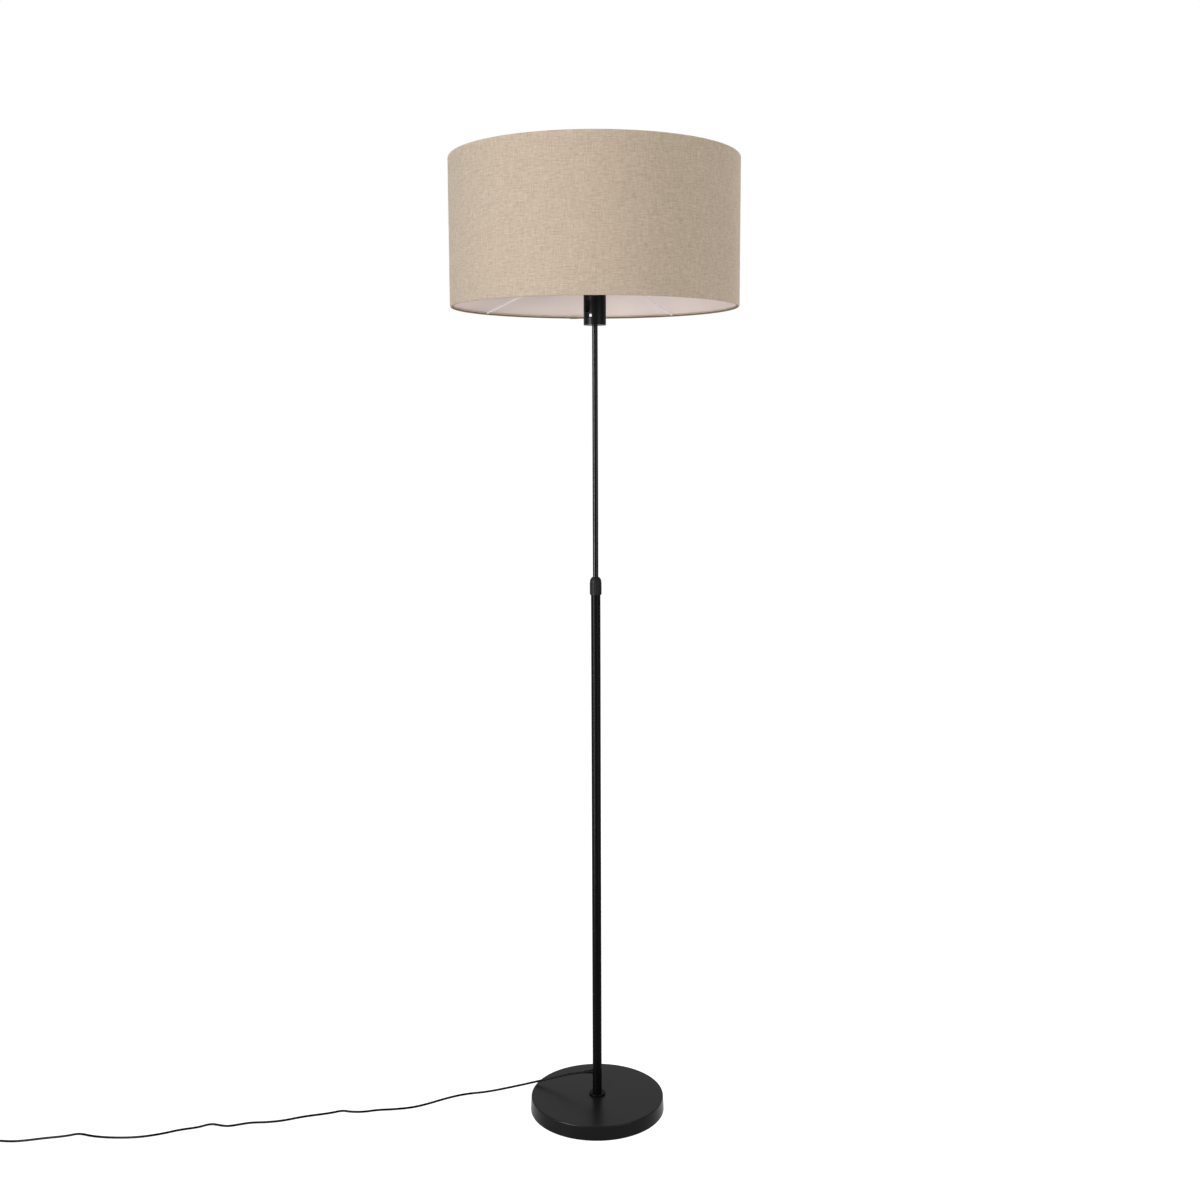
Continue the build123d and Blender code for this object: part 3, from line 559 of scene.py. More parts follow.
def grained(name, colour, metallic=0.0, tone=GRAIN_TONE):
    """Even finish with a fine grain: roughness, tone and relief vary with the same noise."""
    roughness, spread, grain, depth, specular = GRAINS[name]
    finish = Finish(name, colour, roughness, metallic, specular)
    place = finish.place()
    fine = finish.noise(place, grain, detail=4.0)
    broad = finish.noise(place, grain / BROAD_GRAIN, detail=3.0)
    mixed = fine * FINE_SHARE + broad * (1 - FINE_SHARE)
    finish.tint(mixed, *shades(colour, *tone))
    finish.set("Roughness", finish.between(broad, roughness - spread / 2, roughness + spread / 2))
    finish.relief(fine, depth)
    return finish.material


def bright_metal(name):
    """Plated metal with fine turning marks round the Z axis."""
    colour, roughness = PLATING[name]
    finish = Finish(name, colour, roughness, metallic=1.0)
    marks = finish.noise(finish.stretch(finish.place(), TURNING_MARKS), detail=3.0)
    clouds = finish.noise(finish.place(), PLATE_CLOUDS, detail=3.0)
    finish.tint(clouds, *shades(colour, *PLATE_TONE))
    smoothest, roughest = PLATE_SPREAD
    finish.set("Roughness", finish.between(marks, roughness + smoothest, roughness + roughest))
    finish.relief(marks, PLATE_DEPTH)
    return finish.material


def linen(settings, cut_width):
    """Plain weave on the cloth map: yarns over and under, each with its own tone, and slubs along them.

    The hems along the two long edges of the cut cloth are darker on the roll round each wire: partly glue,
    and partly painted shade of the roll's underside.
    """
    finish = Finish("beige_linen", settings.linen_light, roughness=0.88, specular=0.2)
    finish.set("Sheen Weight", 0.12)
    finish.set("Sheen Roughness", 0.45)
    cloth = finish.cloth()
    axes = finish.split(cloth)
    drift = finish.split(finish.noise(cloth, WANDER_SCALE, output="Color"))
    yarns = [axes[axis] / settings.yarn_pitch + drift[axis] * YARN_WANDER for axis in "XY"]
    warp, weft = [finish.math("FLOOR", yarn) for yarn in yarns]
    over = finish.math("FLOORED_MODULO", warp + weft, 2.0)
    heights = []
    for yarn, raised in zip(yarns, (over, 1.0 - over)):
        crown = finish.math("ABSOLUTE", finish.math("SINE", yarn * math.pi))
        heights.append(crown * (raised * (1 - UNDER_HEIGHT) + UNDER_HEIGHT))
    height = finish.math("MAXIMUM", *heights)
    uneven = []
    for number, axis, scale, share in zip((warp, weft), "YX", SLUB_SCALES, SLUB_SHARES):
        own = finish.vector(number * YARN_APART, axes[axis] * YARN_CHANGES)
        slub = finish.noise(finish.stretch(cloth, scale))
        uneven.append(finish.noise(own, detail=1.0) + slub * share)
    uneven = uneven[0] + uneven[1]
    fibres = finish.noise(cloth, FIBRE_SCALE)
    # The height term is painted shade: yarns that go under and the gaps between yarns are darker
    tone = uneven * UNEVEN_TONE + TONE_START + fibres * FIBRE_TONE + height * HEIGHT_SHADE_TONE
    woven = finish.tint(tone, settings.linen_dark, settings.linen_light)
    # Painted shade: the hem's roll is darker where the glue is and where its underside turns from the light
    inset = finish.math("MINIMUM", axes["Y"], cut_width - axes["Y"])
    first, last = GLUED_AND_SHADED_HEM
    glue_and_shade = finish.ramp(inset, first, first + HEM_GLUE_SHADE_FADE) * finish.ramp(inset, last + HEM_GLUE_SHADE_FADE, last)
    hemmed = {0: glue_and_shade, 6: woven, 7: (*settings.hem_glue_and_shade_colour, 1.0)}
    finish.set("Base Color", finish.value("ShaderNodeMix", 2, hemmed, data_type="RGBA"))
    relief = height + fibres * FIBRE_RELIEF + uneven * UNEVEN_RELIEF
    finish.relief(relief, WEAVE_DEPTH, WEAVE_STRENGTH)
    return finish.material


def liner_film(settings):
    """Satin white film, with the slight waves of a sheet bent round."""
    finish = Finish("liner_film", settings.liner_colour, roughness=0.42, specular=0.2)
    cloth = finish.cloth()
    waves = finish.noise(finish.stretch(cloth, FILM_WAVES))
    clouds = finish.noise(cloth, FILM_CLOUDS, detail=3.0)
    finish.tint(clouds, *shades(settings.liner_colour, *FILM_TONE))
    finish.set("Roughness", finish.between(finish.noise(cloth, FILM_SPECKS), *FILM_ROUGHNESS))
    finish.relief(waves, FILM_WAVE_DEPTH, FILM_WAVE_STRENGTH)
    return finish.material


def opal_glass():
    finish = Finish("opal_bulb_glass", OPAL_TONES[0], roughness=0.22)
    finish.set("Subsurface Weight", 0.25)
    finish.set("Subsurface Radius", (0.01, 0.01, 0.009))
    finish.set("Coat Weight", 0.3)
    finish.tint(finish.noise(finish.place(), OPAL_CLOUDS, detail=3.0), *OPAL_TONES)
    return finish.material


def woven_tie(settings):
    """Woven tie: ribs across the band and a soft fibrous face."""
    finish = Finish("woven_tie", settings.plastic_colour, roughness=0.85, specular=0.2)
    ribs = finish.noise(finish.stretch(finish.place(), TIE_RIBS))
    finish.tint(ribs, *shades(settings.plastic_colour, *TIE_TONE))
    finish.set("Sheen Weight", 0.3)
    finish.relief(ribs, TIE_DEPTH)
    return finish.material


# Building helpers
def put(name, data):
    """New object in the scene."""
    item = bpy.data.objects.new(name, data)
    bpy.context.scene.collection.objects.link(item)
    return item


def settle(carrier):
    """Plain mesh of an object with its modifiers or bevel applied, in place of the object."""
    name = carrier.name
    graph = bpy.context.evaluated_depsgraph_get()
    mesh = bpy.data.meshes.new_from_object(carrier.evaluated_get(graph))
    bpy.data.objects.remove(carrier)
    mesh.name = name
    smooth(mesh)
    return mesh


def dress(nodes, material):
    """Give the solids of these nodes a material."""
    for name in nodes:
        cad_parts[name].data.materials[0] = material


def add_piece(name, data, material, body, nodes=()):
    """Put a finished mesh or curve in the scene as a piece of the lamp, on one body or on none."""
    piece = put(name, data)
    data.materials.clear()
    data.materials.append(material)
    if body:
        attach(piece, body)
    if nodes:
        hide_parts(*nodes)
    return piece


def smooth(mesh, degrees=35.0):
    """Shade a mesh smooth, with sharp edges where faces turn by more than an angle."""
    mesh.polygons.foreach_set("use_smooth", [True] * len(mesh.polygons))
    mesh.set_sharp_from_angle(angle=math.radians(degrees))


def even_shading(piece):
    """Keep flat faces flat beside rounded edges."""
    modifier = piece.modifiers.new("even shading", "WEIGHTED_NORMAL")
    modifier.keep_sharp = True


def arc(centre, radius, start, end, steps):
    """Points on an arc in the plane of an outline, from one angle to another in degrees."""
    points = []
    for i in range(steps + 1):
        angle = math.radians(start + (end - start) * i / steps)
        points.append((centre[0] + radius * math.cos(angle), centre[1] + radius * math.sin(angle)))
    return points


def soften(corners, steps=5):
    """Closed outline with rounded corners, from (radius, height, corner radius) points."""
    outline = []
    for i, (across, height, rounding) in enumerate(corners):
        here = Vector((across, height))
        if rounding == 0:
            outline.append((across, height))
            continue
        back = (Vector(corners[i - 1][:2]) - here).normalized()
        ahead = (Vector(corners[(i + 1) % len(corners)][:2]) - here).normalized()
        half = back.angle(ahead) / 2
        centre = here + (back + ahead).normalized() * rounding / math.sin(half)
        reach = rounding / math.tan(half)
        first = here + back * reach - centre
        last = here + ahead * reach - centre
        start = math.degrees(math.atan2(first.y, first.x))
        turn = (math.degrees(math.atan2(last.y, last.x)) - start + 180) % 360 - 180
        outline += arc(centre, rounding, start, start + turn, steps)
    return outline


def band(build, ring, following):
    """Faces between two rings of points."""
    for i in range(len(ring)):
        k = (i + 1) % len(ring)
        build.faces.new((ring[i], ring[k], following[k], following[i]))


def built(name, build):
    """Mesh of what was built, with its faces turned outwards."""
    bmesh.ops.recalc_face_normals(build, faces=build.faces)
    mesh = bpy.data.meshes.new(name)
    build.to_mesh(mesh)
    build.free()
    smooth(mesh)
    return mesh


def lathe(name, outline, segments):
    """Mesh turned about Z from a closed outline."""
    build = bmesh.new()
    rings = []
    for across, height in outline:
        ring = []
        for j in range(segments):
            angle = 2 * math.pi * j / segments
            ring.append(build.verts.new((across * math.cos(angle), across * math.sin(angle), height)))
        rings.append(ring)
    for i, ring in enumerate(rings):
        band(build, ring, rings[(i + 1) % len(rings)])
    return built(name, build)


# Base
class LAMP_OT_base(bpy.types.Operator):
    """Dress the weighted base and its clamp"""

    bl_idname = "lamp.base"
    bl_label = "Base"

    def execute(self, context):
        paint = grained("textured_black_paint", context.scene.lamp_metal.base_colour, tone=BASE_TONE)
        shell = add_piece("base_shell", self.shell(), paint, "stand", ["base_cover"])
        even_shading(shell)
        dress(["base_weight"], grained("rough_iron", IRON_GREY, IRON_METAL))
        dress(["base_pad"], grained("pad_rubber", PAD_GREY))
        dress(["base_nipple", "base_washer", "base_nut", "foot_insert"], bright_metal("zinc_plate"))
        return {"FINISHED"}

    def shell(self):
        """Pressed cover with a rounded top edge and a hemmed lower edge."""
        low = base_high.x
        top = base_high.z
        bottom = base_low.z
        outline = soften([
            (SHELL_HOLE, top, 0.0),
            (foot_high.x, top, 0.0),
            (low - SHELL_DRAFT - SHELL_BAND, top, 0.0),
            (low - SHELL_DRAFT, top, SHELL_EDGE),
            (low - SHELL_HEM_FLARE, bottom + SHELL_HEM_HEIGHT, 0.0),
            (low, bottom, SHELL_HEM),
            (low - SHELL_WALL, bottom, SHELL_HEM),
            (low - SHELL_DRAFT - SHELL_WALL, top - SHELL_WALL, SHELL_INNER_EDGE),
            (SHELL_HOLE, top - SHELL_WALL, 0.0),
        ])
        return lathe("base_shell", outline, SHELL_SEGMENTS)


# Pole
class LAMP_OT_pole(bpy.types.Operator):
    """Dress the telescopic pole and build its ribbed twist collar"""

    bl_idname = "lamp.pole"
    bl_label = "Pole"

    def execute(self, context):
        metal = context.scene.lamp_metal
        dress(["upper_tube"], grained("satin_black_paint", metal.paint_colour))
        dress(["foot_collar", "lower_tube"], grained("matt_black_paint", metal.paint_colour))
        dress(["collet", "guide_bush"], grained("natural_nylon", NYLON_WHITE))
        dress(["tube_ferrule", "guide_clips"], bright_metal("zinc_pole_fittings"))
        plastic = grained("moulded_black_plastic", metal.plastic_colour)
        collar = self.ribs().grow("twist_collar", plastic, self.core())
        add_piece("twist_collar", collar, plastic, "collar", ["lock_collar"])
        return {"FINISHED"}

    def core(self):
        """Turned body of the collar, under its ribs."""
        radius = collar_high.x - RIB_DEPTH
        bottom = collar_low.z
        top = collar_high.z
        shoulder = top - DOME_HEIGHT
        reach = radius - DOME_RIM
        dome_radius = (reach**2 + DOME_HEIGHT**2) / (2 * reach)
        tip = math.degrees(math.asin(DOME_HEIGHT / dome_radius))
        dome = arc((radius - dome_radius, shoulder), dome_radius, 0.0, tip, DOME_STEPS)
        lip = soften([
            (COLLAR_BORE, bottom, COLLAR_INNER_EDGE),
            (radius, bottom, COLLAR_EDGE),
            (radius, shoulder, 0.0),
            (DOME_RIM, top, 0.0),
            (MOUTH_RADIUS, top, 0.0),
            (MOUTH_RADIUS, top - COLLAR_CEILING, 0.0),
            (COLLET_ROOM, top - COLLAR_CEILING, 0.0),
            (COLLAR_BORE, top - 2 * COLLAR_CEILING, 0.0),
        ])
        at = lip.index((radius, shoulder))
        return lathe("collar_core", lip[:at] + dome + lip[at + 2:], COLLAR_SEGMENTS)

    def ribs(self):
        """Tree that stands upright ribs round the collar."""
        length = collar_high.z - collar_low.z - DOME_HEIGHT - 2 * RIB_MARGIN
        tree = Tree("collar ribs", {
            "Ribs": COLLAR_RIBS,
            "Circle radius": collar_high.x - RIB_DIAMETER / 2,
            "Rib radius": RIB_DIAMETER / 2,
            "Rib length": length,
            "Middle height": collar_low.z + RIB_MARGIN + length / 2,
        })
        size = tree.inputs
        circle = tree.value("GeometryNodeMeshCircle", "Mesh", {
            "Vertices": size["Ribs"], "Radius": size["Circle radius"]})
        lifted = tree.value("GeometryNodeSetPosition", 0, {
            "Geometry": circle, "Offset": tree.vector(z=size["Middle height"])})
        rib = tree.value("GeometryNodeMeshCylinder", "Mesh", {
            "Vertices": RIB_SIDES, "Side Segments": 1, "Fill Segments": 1,
            "Radius": size["Rib radius"], "Depth": size["Rib length"]})
        tree.close([size["Geometry"], tree.repeat(lifted, rib)])
        return tree


# Lampholder
class LAMP_OT_lampholder(bpy.types.Operator):
    """Dress the lampholder, its switch and the rings that hold the shade"""

    bl_idname = "lamp.lampholder"
    bl_label = "Lampholder"

    def execute(self, context):
        metal = context.scene.lamp_metal
        dress(["holder_housing"], grained("lampholder_paint", metal.paint_colour))
        dress(["switch_bezel", "switch_body"], grained("switch_frame", metal.paint_colour))
        dress(["switch_rocker"], grained("switch_rocker", metal.paint_colour))
        plastic = grained("moulded_black_plastic", metal.plastic_colour)
        dress(["holder_skirt", "shade_rest_ring", "shade_lock_ring"], plastic)
        dress(["mast_socket", "switch_pin"], bright_metal("zinc_holder_fittings"))
        dress(["socket_screw"], grained("white_nylon_screw", SCREW_WHITE))
        dress(["holder_core"], grained("white_socket", SOCKET_WHITE))
        dress(["screw_shell", "centre_contact"], bright_metal("nickel_socket"))
        dress(["inner_lead"], grained("cord_sheath", context.scene.lamp_cord.colour))
        return {"FINISHED"}


# Bulb
class LAMP_OT_bulb(bpy.types.Operator):
    """Dress the opal bulb and its cap"""

    bl_idname = "lamp.bulb"
    bl_label = "Bulb"

    def execute(self, context):
        dress(["bulb_globe"], opal_glass())
        dress(["bulb_cap"], bright_metal("nickel_cap"))
        dress(["bulb_contact"], grained("dark_glass", GLASS_BLACK))
        return {"FINISHED"}


# Shade
class LAMP_OT_shade(bpy.types.Operator):
    """Build the linen drum, its liner and seam, and the wire spider inside"""

    bl_idname = "lamp.shade"
    bl_label = "Shade"

    def execute(self, context):
        settings = context.scene.lamp_shade
        film = liner_film(settings)
        girth = 2 * math.pi * fabric_high.x
        wall = top_ring_low.z - ring_low.z
        hem = fabric_high.x - ring_radius
        wrap = math.radians(HEM_WRAP)
        cut_width = wall + 2 * hem * wrap
        cloth = linen(settings, cut_width)
        drum = self.rolled_sheet("linen drum", settings, {
            "Girth": girth, "Wall": wall, "Hem": hem, "Hem wrap": wrap, "Hem rows": HEM_ROWS,
            "Ring radius": ring_radius, "Low height": ring_height, "Lift": FABRIC_THICKNESS + SEAM_GAP,
        })
        skin = drum.grow("linen_drum", cloth, wall=FABRIC_THICKNESS)
        skin = add_piece("linen_drum", skin, cloth, "mast", ["shade_fabric"])
        tube = self.rolled_sheet("film liner", settings, {
            "Girth": 2 * math.pi * liner_high.x, "Wall": liner_high.z - liner_low.z,
            "Hem": 0.0, "Hem wrap": 0.0, "Hem rows": 0,
            "Ring radius": liner_high.x, "Low height": liner_low.z, "Lift": -LINER_THICKNESS - SEAM_GAP,
        })
        liner = tube.grow("film_liner", film, wall=LINER_THICKNESS)
        add_piece("film_liner", liner, film, "mast", ["shade_liner"])
        wire = grained("cream_wire", settings.wire_colour)
        spider = self.spokes().grow("spider_wires", wire)
        add_piece("spider_wires", spider, wire, "mast", ["spider_spokes"])
        dress(["spider_hub"], wire)
        dress(["shade_bottom_ring", "shade_top_ring"], bright_metal("zinc_wire_rings"))
        return {"FINISHED"}

    def rolled_sheet(self, name, settings, sizes):
        """Tree that rolls a flat sheet into a drum with hems along its edges, its end laid over its start.

        Each row of the flat sheet is in the lower hem, in the wall or in the upper hem. Lift is how far the
        overlapping end stands off, outwards or inwards.
        """
        tree = Tree(name, sizes | {
            "Overlap": SEAM_OVERLAP, "Ramp": SEAM_RAMP, "Wave": SHEET_WAVE, "Columns": SHADE_COLUMNS,
            "Wall rows": WALL_ROWS, "Seam": math.radians(90.0) - settings.seam_angle,
        })
        size = tree.inputs
        rows = size["Hem rows"] * 2.0 + size["Wall rows"]
        grid = tree.node("GeometryNodeMeshGrid", {
            "Size X": 1.0, "Size Y": 1.0, "Vertices X": size["Columns"] + 1.0, "Vertices Y": rows + 1.0})
        sheet = Value(tree, grid.outputs["Mesh"])
        flat = tree.split(Value(tree, grid.outputs["UV Map"]))
        row = tree.math("ROUND", flat["Y"] * rows)
        along = flat["X"] * (size["Girth"] + size["Overlap"])
        above = row - size["Hem rows"]
        wall_share = tree.share(above, size["Wall rows"])
        hemmed = tree.math("GREATER_THAN", size["Hem rows"], 0.5)
        low_turn = size["Hem wrap"] * (1.0 - tree.share(row, size["Hem rows"])) * hemmed
        high_turn = size["Hem wrap"] * tree.share(above - size["Wall rows"], size["Hem rows"])
        past = along - (size["Girth"] - size["Ramp"])
        bend = size["Hem"] + tree.share(past, size["Ramp"]) * size["Lift"]
        out = bend * tree.math("COSINE", low_turn + high_turn) + size["Ring radius"]
        rise = tree.math("SINE", high_turn) - tree.math("SINE", low_turn)
        height = size["Wall"] * wall_share + size["Low height"] + bend * rise
        angle = size["Seam"] + along / (size["Ring radius"] + size["Hem"])
        east = tree.math("COSINE", angle)
        north = tree.math("SINE", angle)
        ripple = tree.noise(tree.vector(east * out, north * out, height), SHEET_WAVE_SCALE)
        out = out + (ripple - 0.5) * size["Wave"]
        place = tree.vector(east * out, north * out, height)
        length = (size["Hem wrap"] - low_turn) * size["Hem"] + size["Wall"] * wall_share
        length = length + high_turn * size["Hem"]
        cloth = {"Geometry": sheet, "Name": "cloth", "Value": tree.vector(along, length)}
        mapped = tree.value(
            "GeometryNodeStoreNamedAttribute", 0, cloth, data_type="FLOAT2", domain="CORNER")
        tree.close([tree.value("GeometryNodeSetPosition", 0, {"Geometry": mapped, "Position": place})])
        return tree

    def spokes(self):
        """Tree that draws a wire from the hub to the lower ring, with welds, and repeats it round."""
        tree = Tree("spider spokes", {
            "Spokes": SPOKE_COUNT,
            "Hub radius": hub_high.x - SPOKE_BITE,
            "Ring radius": ring_radius - wire_radius / 2,
            "Hub height": (hub_low.z + hub_high.z) / 2,
            "Ring height": ring_height,
            "Wire radius": wire_radius,
            "First angle": math.radians(90.0 - SPOKE_ANGLE),
        })
        size = tree.inputs
        start = tree.vector(x=size["Hub radius"], z=size["Hub height"])
        end = tree.vector(x=size["Ring radius"], z=size["Ring height"])
        parts = [tree.tube(tree.line(start, end), size["Wire radius"], SPOKE_SIDES)]
        bead = tree.value("GeometryNodeMeshIcoSphere", "Mesh", {
            "Radius": size["Wire radius"] * WELD_SIZE, "Subdivisions": 3})
        for place in (start, end):
            parts.append(tree.value("GeometryNodeTransform", 0, {"Geometry": bead, "Translation": place}))
        number = tree.value("GeometryNodeInputIndex", 0)
        turn = size["First angle"] + number * (2 * math.pi / size["Spokes"])
        spokes = tree.repeat(tree.row(size["Spokes"]), tree.join(parts), Rotation=tree.vector(z=turn))
        tree.close([spokes])
        return tree


# Cord
def exit_direction():
    turn = math.radians(CORD_EXIT_ANGLE)
    drop = math.radians(CORD_EXIT_DROP)
    return Vector((-math.cos(turn) * math.cos(drop), math.sin(turn) * math.cos(drop), -math.sin(drop)))


def along_exit(distance):
    """Point on the line on which the cord leaves the pole, in millimetres."""
    radius = pole_high.x / MM
    middle = CORD_EXIT_HEIGHT + radius * math.tan(math.radians(CORD_EXIT_DROP))
    return Vector((0.0, 0.0, middle)) + exit_direction() * distance


def coil_points():
    """Control points of the coil: in on the lower layer, up in half a turn, and out on the upper layer."""
    inward = [COIL_RADIUS - i * COIL_STEP for i in range(COIL_HALF_TURNS)]
    inmost = inward[-1] - COIL_STEP
    outward = [inmost + (i + 1) * COIL_STEP for i in range(COIL_HALF_TURNS + 1)]
    radii = inward + [inmost - COIL_CLIMB_INSET] * 2 + outward
    low, high = COIL_HEIGHTS
    spread = 1 / math.cos(math.pi / (2 * COIL_POINTS))
    points = []
    for i, (first, second) in enumerate(zip(radii, radii[1:])):
        side = -1 if i % 2 == 0 else 1
        radius = (first + second) / 2 * spread
        middle = COIL_CENTRE[1] + side * (first - second) / 2
        for j in range(COIL_POINTS):
            share = (j + 0.5) / COIL_POINTS
            angle = math.pi * share
            climb = 0.0 if i < COIL_HALF_TURNS else share if i == COIL_HALF_TURNS else 1.0
            points.append(Vector((
                COIL_CENTRE[0] + side * radius * math.sin(angle),
                middle + side * radius * math.cos(angle),
                low + (high - low) * climb,
            )))
    end = Vector((COIL_CENTRE[0], COIL_CENTRE[1] - radii[-1], high))
    return points, end


def sheath_line(name, points, diameter, rings):
    """Smooth round line led by these points, in millimetres."""
    curve = bpy.data.curves.new(name, "CURVE")
    curve.dimensions = "3D"
    spline = curve.splines.new("NURBS")
    spline.points.add(len(points) - 1)
    for control, point in zip(spline.points, points):
        control.co = (*(point * MM), 1.0)
    spline.order_u = 3
    spline.use_endpoint_u = True
    spline.resolution_u = rings
    curve.bevel_depth = diameter / 2
    curve.bevel_resolution = 4
    curve.use_fill_caps = True
    return curve


class LAMP_OT_cord(bpy.types.Operator):
    """Lay the cord on the floor, coil its spare length, fit its plug and lead it up the pole"""

    bl_idname = "lamp.cord"
    bl_label = "Cord"

    def execute(self, context):
        settings = context.scene.lamp_cord
        metal = context.scene.lamp_metal
        plastic = grained("plug_plastic", metal.plastic_colour)
        sheath = grained("cord_sheath", settings.colour)
        cord = self.cord(settings, sheath)
        self.spare(settings, sheath)
        plug = self.grips().grow("plug_moulding", plastic, self.plug())
        plug = add_piece("plug_moulding", plug, plastic, "stand", ["plug_body"])
        sleeves = add_piece("pin_sleeves", self.sleeves(), plastic, "stand")
        dress(["cord_bush"], grained("bush_rubber", metal.paint_colour))
        dress(["cord_tie"], woven_tie(metal))
        dress(["plug_pins"], bright_metal("nickel_pins"))
        return {"FINISHED"}

    def cord(self, settings, sheath):
        """One smooth line from inside the pole to the plug."""
        turns, end = coil_points()
        entry = Vector((COIL_CENTRE[0] + COIL_ENTRY_RUN, COIL_CENTRE[1] - COIL_RADIUS, COIL_HEIGHTS[0]))
        points = [along_exit(CORD_START), along_exit(CORD_START + CORD_EXIT_RUN)]
        points += [Vector(point) for point in CORD_ROUTE]
        points += [entry] + turns + [end, end - Vector((COIL_EXIT_RUN, 0.0, 0.0))]
        curve = sheath_line("mains_cord", points, settings.diameter, CORD_RINGS)
        return add_piece("mains_cord", curve, sheath, "stand", ["cord_lead", "cord_coil"])

    def spare(self, settings, sheath):
        """Lead in the pole, from the exit up to the mast's foot, drawn at one length; the real lead closes up
        as the mast slides down.
        """
        bend = along_exit(0.0)
        foot = Vector((0.0, 0.0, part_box("slack_lead")[1].z / MM))
        rise = bend + Vector((0.0, 0.0, SPARE_BEND))
        points = [along_exit(CORD_START), bend, rise, foot]
        curve = sheath_line("spare_lead", points, settings.diameter, SPARE_RINGS)
        mesh = settle(put("spare_lead", curve))
        lead = add_piece("spare_lead", mesh, sheath, None, ["slack_lead"])
        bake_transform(lead)

    def plug(self):
        """Body of the moulded plug, lofted through rounded sections."""
        build = bmesh.new()
        rings = []
        for distance, wide, thick, square in PLUG_SECTIONS:
            x = plug_high.x - distance * MM
            ring = []
            for i in range(PLUG_ROUND):
                angle = 2 * math.pi * i / PLUG_ROUND
                across = math.copysign(abs(math.cos(angle)) ** (2 / square), math.cos(angle)) * wide
                up = math.copysign(abs(math.sin(angle)) ** (2 / square), math.sin(angle)) * thick
                ring.append(build.verts.new((x, plug_middle + across * MM, plug_height + up * MM)))
            rings.append(ring)
        for ring, following in zip(rings, rings[1:]):
            band(build, ring, following)
        build.faces.new(rings[0])
        build.faces.new(rings[-1])
        return built("plug_loft", build)

    def grips(self):
        """Tree that sets finger ribs on both faces of the plug and rings on its boot."""
        tree = Tree("plug grips", {
            "Ribs": GRIP_RIBS, "Rib pitch": GRIP_PITCH, "Rib start": plug_high.x - GRIP_START,
            "Rib half length": GRIP_HALF_LENGTH, "Rib radius": GRIP_RADIUS,
            "Rings": BOOT_RINGS, "Ring pitch": BOOT_PITCH, "Ring start": plug_high.x - BOOT_START,
            "Ring radius": BOOT_RADIUS, "Ring growth": BOOT_GROWTH, "Ring bead": BOOT_BEAD,
            "Middle": plug_middle, "Height": plug_height, "Half thickness": (plug_high.z - plug_low.z) / 2,
        })
        size = tree.inputs
        parts = [size["Geometry"]]
        half = size["Rib half length"]
        rib = tree.line(tree.vector(y=half * -1.0), tree.vector(y=half))
        rib = tree.tube(rib, size["Rib radius"], GRIP_SIDES)
        step = tree.vector(x=size["Rib pitch"] * -1.0)
        inset = size["Half thickness"] - size["Rib radius"]
        for side in (1.0, -1.0):
            first = tree.vector(size["Rib start"], size["Middle"], size["Height"] + inset * side)
            parts.append(tree.repeat(tree.row(size["Ribs"], first, step), rib))
        hoop = tree.circle(size["Ring radius"], BOOT_STEPS)
        hoop = tree.tube(hoop, size["Ring bead"], BOOT_SIDES, caps=False)
        first = tree.vector(size["Ring start"], size["Middle"], size["Height"])
        row = tree.row(size["Rings"], first, tree.vector(x=size["Ring pitch"] * -1.0))
        scale = tree.value("GeometryNodeInputIndex", 0) * size["Ring growth"] + 1.0
        parts.append(tree.repeat(
            row, hoop, Rotation=(0.0, math.pi / 2, 0.0), Scale=tree.vector(scale, scale, 1.0)))
        tree.close(parts)
        return tree

    def sleeves(self):
        """Insulating sleeve on the root of each pin."""
        radius = (pins_high.z - pins_low.z) / 2 + PIN_SLEEVE_WALL
        height = (pins_low.z + pins_high.z) / 2
        build = bmesh.new()
        turn = Matrix.Rotation(math.pi / 2, 4, "Y")
        for y in (pins_low.y + radius, pins_high.y - radius):
            place = Matrix.Translation((pins_high.x - PIN_SLEEVE / 2, y, height)) @ turn
            bmesh.ops.create_cone(build, cap_ends=True, segments=PIN_SIDES, radius1=radius, radius2=radius,
                                  depth=PIN_SLEEVE, matrix=place)
        return built("pin_sleeves", build)


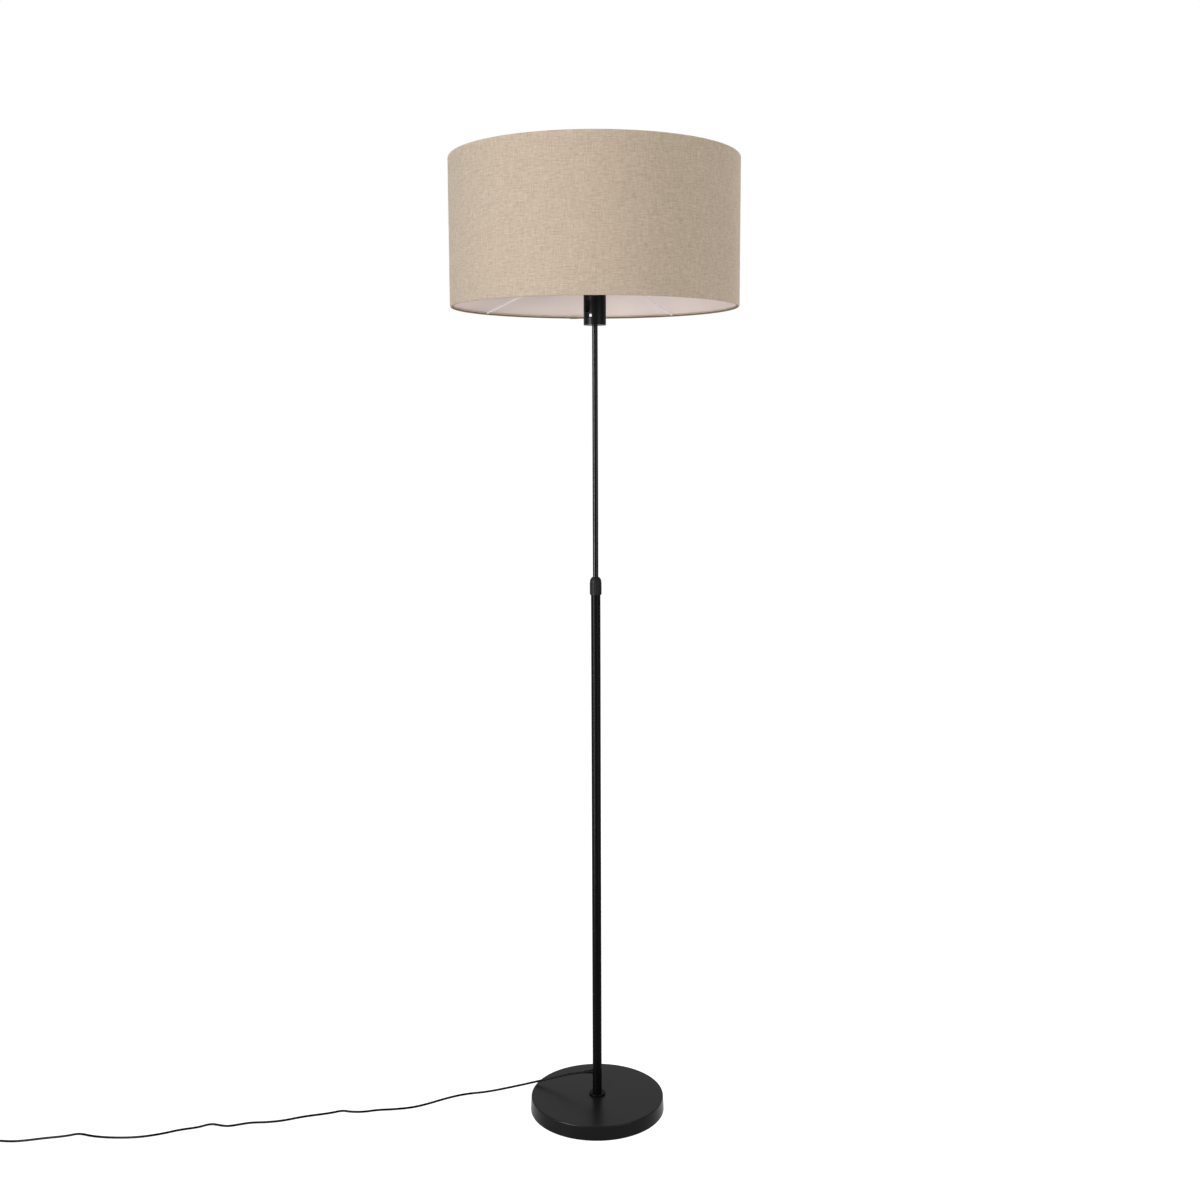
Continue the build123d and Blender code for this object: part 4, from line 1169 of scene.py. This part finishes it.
# Stage
class LAMP_OT_stage(bpy.types.Operator):
    """Set the pale floor, the soft lights and the camera"""

    bl_idname = "lamp.stage"
    bl_label = "Stage"

    def execute(self, context):
        settings = context.scene.lamp_stage
        scene = context.scene
        scene.view_settings.view_transform = "Standard"
        self.floor(settings)
        self.world(scene, settings)
        for name, light in LIGHTS.items():
            self.light(name, getattr(settings, name + "_power"), *light)
        camera = bpy.data.cameras.new("camera")
        camera.lens = CAMERA_LENS
        camera.sensor_width = CAMERA_SENSOR
        camera.dof.use_dof = False
        holder = put("camera", camera)
        tilt = Matrix.Rotation(math.radians(90.0 - CAMERA_PITCH), 4, "X")
        roll = Matrix.Rotation(math.radians(CAMERA_ROLL), 4, "Z")
        holder.matrix_world = Matrix.Translation(CAMERA_PLACE) @ tilt @ roll
        scene.camera = holder
        return {"FINISHED"}

    def light(self, name, power, place, target, size, diffuse, glossy):
        """Soft panel that the eye does not see."""
        panel = bpy.data.lights.new(name, "AREA")
        panel.shape = "RECTANGLE"
        panel.size, panel.size_y = size
        panel.energy = power
        holder = put(name, panel)
        holder.visible_camera = False
        holder.visible_diffuse = diffuse
        holder.visible_glossy = glossy
        aim = (Vector(target) - Vector(place)).to_track_quat("-Z", "Y")
        holder.matrix_world = Matrix.Translation(place) @ aim.to_matrix().to_4x4()

    def floor(self, settings):
        """Wide pale floor that reads as white to the eye and in reflections, and keeps a soft shadow."""
        mesh = bpy.data.meshes.new("floor")
        build = bmesh.new()
        bmesh.ops.create_circle(build, cap_ends=True, segments=FLOOR_SEGMENTS, radius=FLOOR_RADIUS,
                                matrix=Matrix.Translation((0.0, 0.0, -FLOOR_DROP)))
        build.to_mesh(mesh)
        build.free()
        finish = Finish("studio_floor", settings.floor_colour, roughness=0.9, specular=0.1)
        paint = Value(finish, finish.shader.outputs["BSDF"])
        glow = finish.value("ShaderNodeEmission", 0, {"Color": WHITE, "Strength": FLOOR_GLOW})
        mix = {0: finish.seen() * FLOOR_GLOW_SHARE, 1: paint, 2: glow}
        surface = finish.tree.nodes["Material Output"].inputs["Surface"]
        finish.feed(surface, finish.value("ShaderNodeMixShader", 0, mix))
        mesh.materials.append(finish.material)
        put("floor", mesh)

    def world(self, scene, settings):
        """White backdrop to the eye and in reflections, and a moderate light from all round."""
        world = bpy.data.worlds.new("studio")
        scene.world = world
        world.use_nodes = True
        net = Net(world.node_tree)
        backdrop = world.node_tree.nodes["Background"].inputs
        net.feed(backdrop["Color"], WHITE)
        net.feed(backdrop["Strength"], net.between(net.seen(), settings.ambient, 1.0))


class LAMP_PT_panel(bpy.types.Panel):
    """Steps and settings of the lamp"""

    bl_label = "Floor lamp"
    bl_idname = "LAMP_PT_panel"
    bl_space_type = "VIEW_3D"
    bl_region_type = "UI"
    bl_category = "Lamp"

    def draw(self, context):
        for step in STEPS:
            self.layout.operator(step.bl_idname)
        for group, label in SETTINGS.items():
            settings = getattr(context.scene, label)
            for name in group.__annotations__:
                self.layout.prop(settings, name)


STEPS = (
    LAMP_OT_base, LAMP_OT_pole, LAMP_OT_lampholder, LAMP_OT_bulb, LAMP_OT_shade, LAMP_OT_cord, LAMP_OT_stage,
)
SETTINGS = {
    LampShadeSettings: "lamp_shade",
    LampMetalSettings: "lamp_metal",
    LampCordSettings: "lamp_cord",
    LampStageSettings: "lamp_stage",
}


def register():
    for group, label in SETTINGS.items():
        bpy.utils.register_class(group)
        setattr(bpy.types.Scene, label, PointerProperty(type=group))
    for step in STEPS:
        bpy.utils.register_class(step)
    bpy.utils.register_class(LAMP_PT_panel)


def unregister():
    bpy.utils.unregister_class(LAMP_PT_panel)
    for step in reversed(STEPS):
        bpy.utils.unregister_class(step)
    for group, label in SETTINGS.items():
        delattr(bpy.types.Scene, label)
        bpy.utils.unregister_class(group)


def main():
    register()
    bpy.ops.lamp.base()
    bpy.ops.lamp.pole()
    bpy.ops.lamp.lampholder()
    bpy.ops.lamp.bulb()
    bpy.ops.lamp.shade()
    bpy.ops.lamp.cord()
    bpy.ops.lamp.stage()


if __name__ == "__main__":
    main()
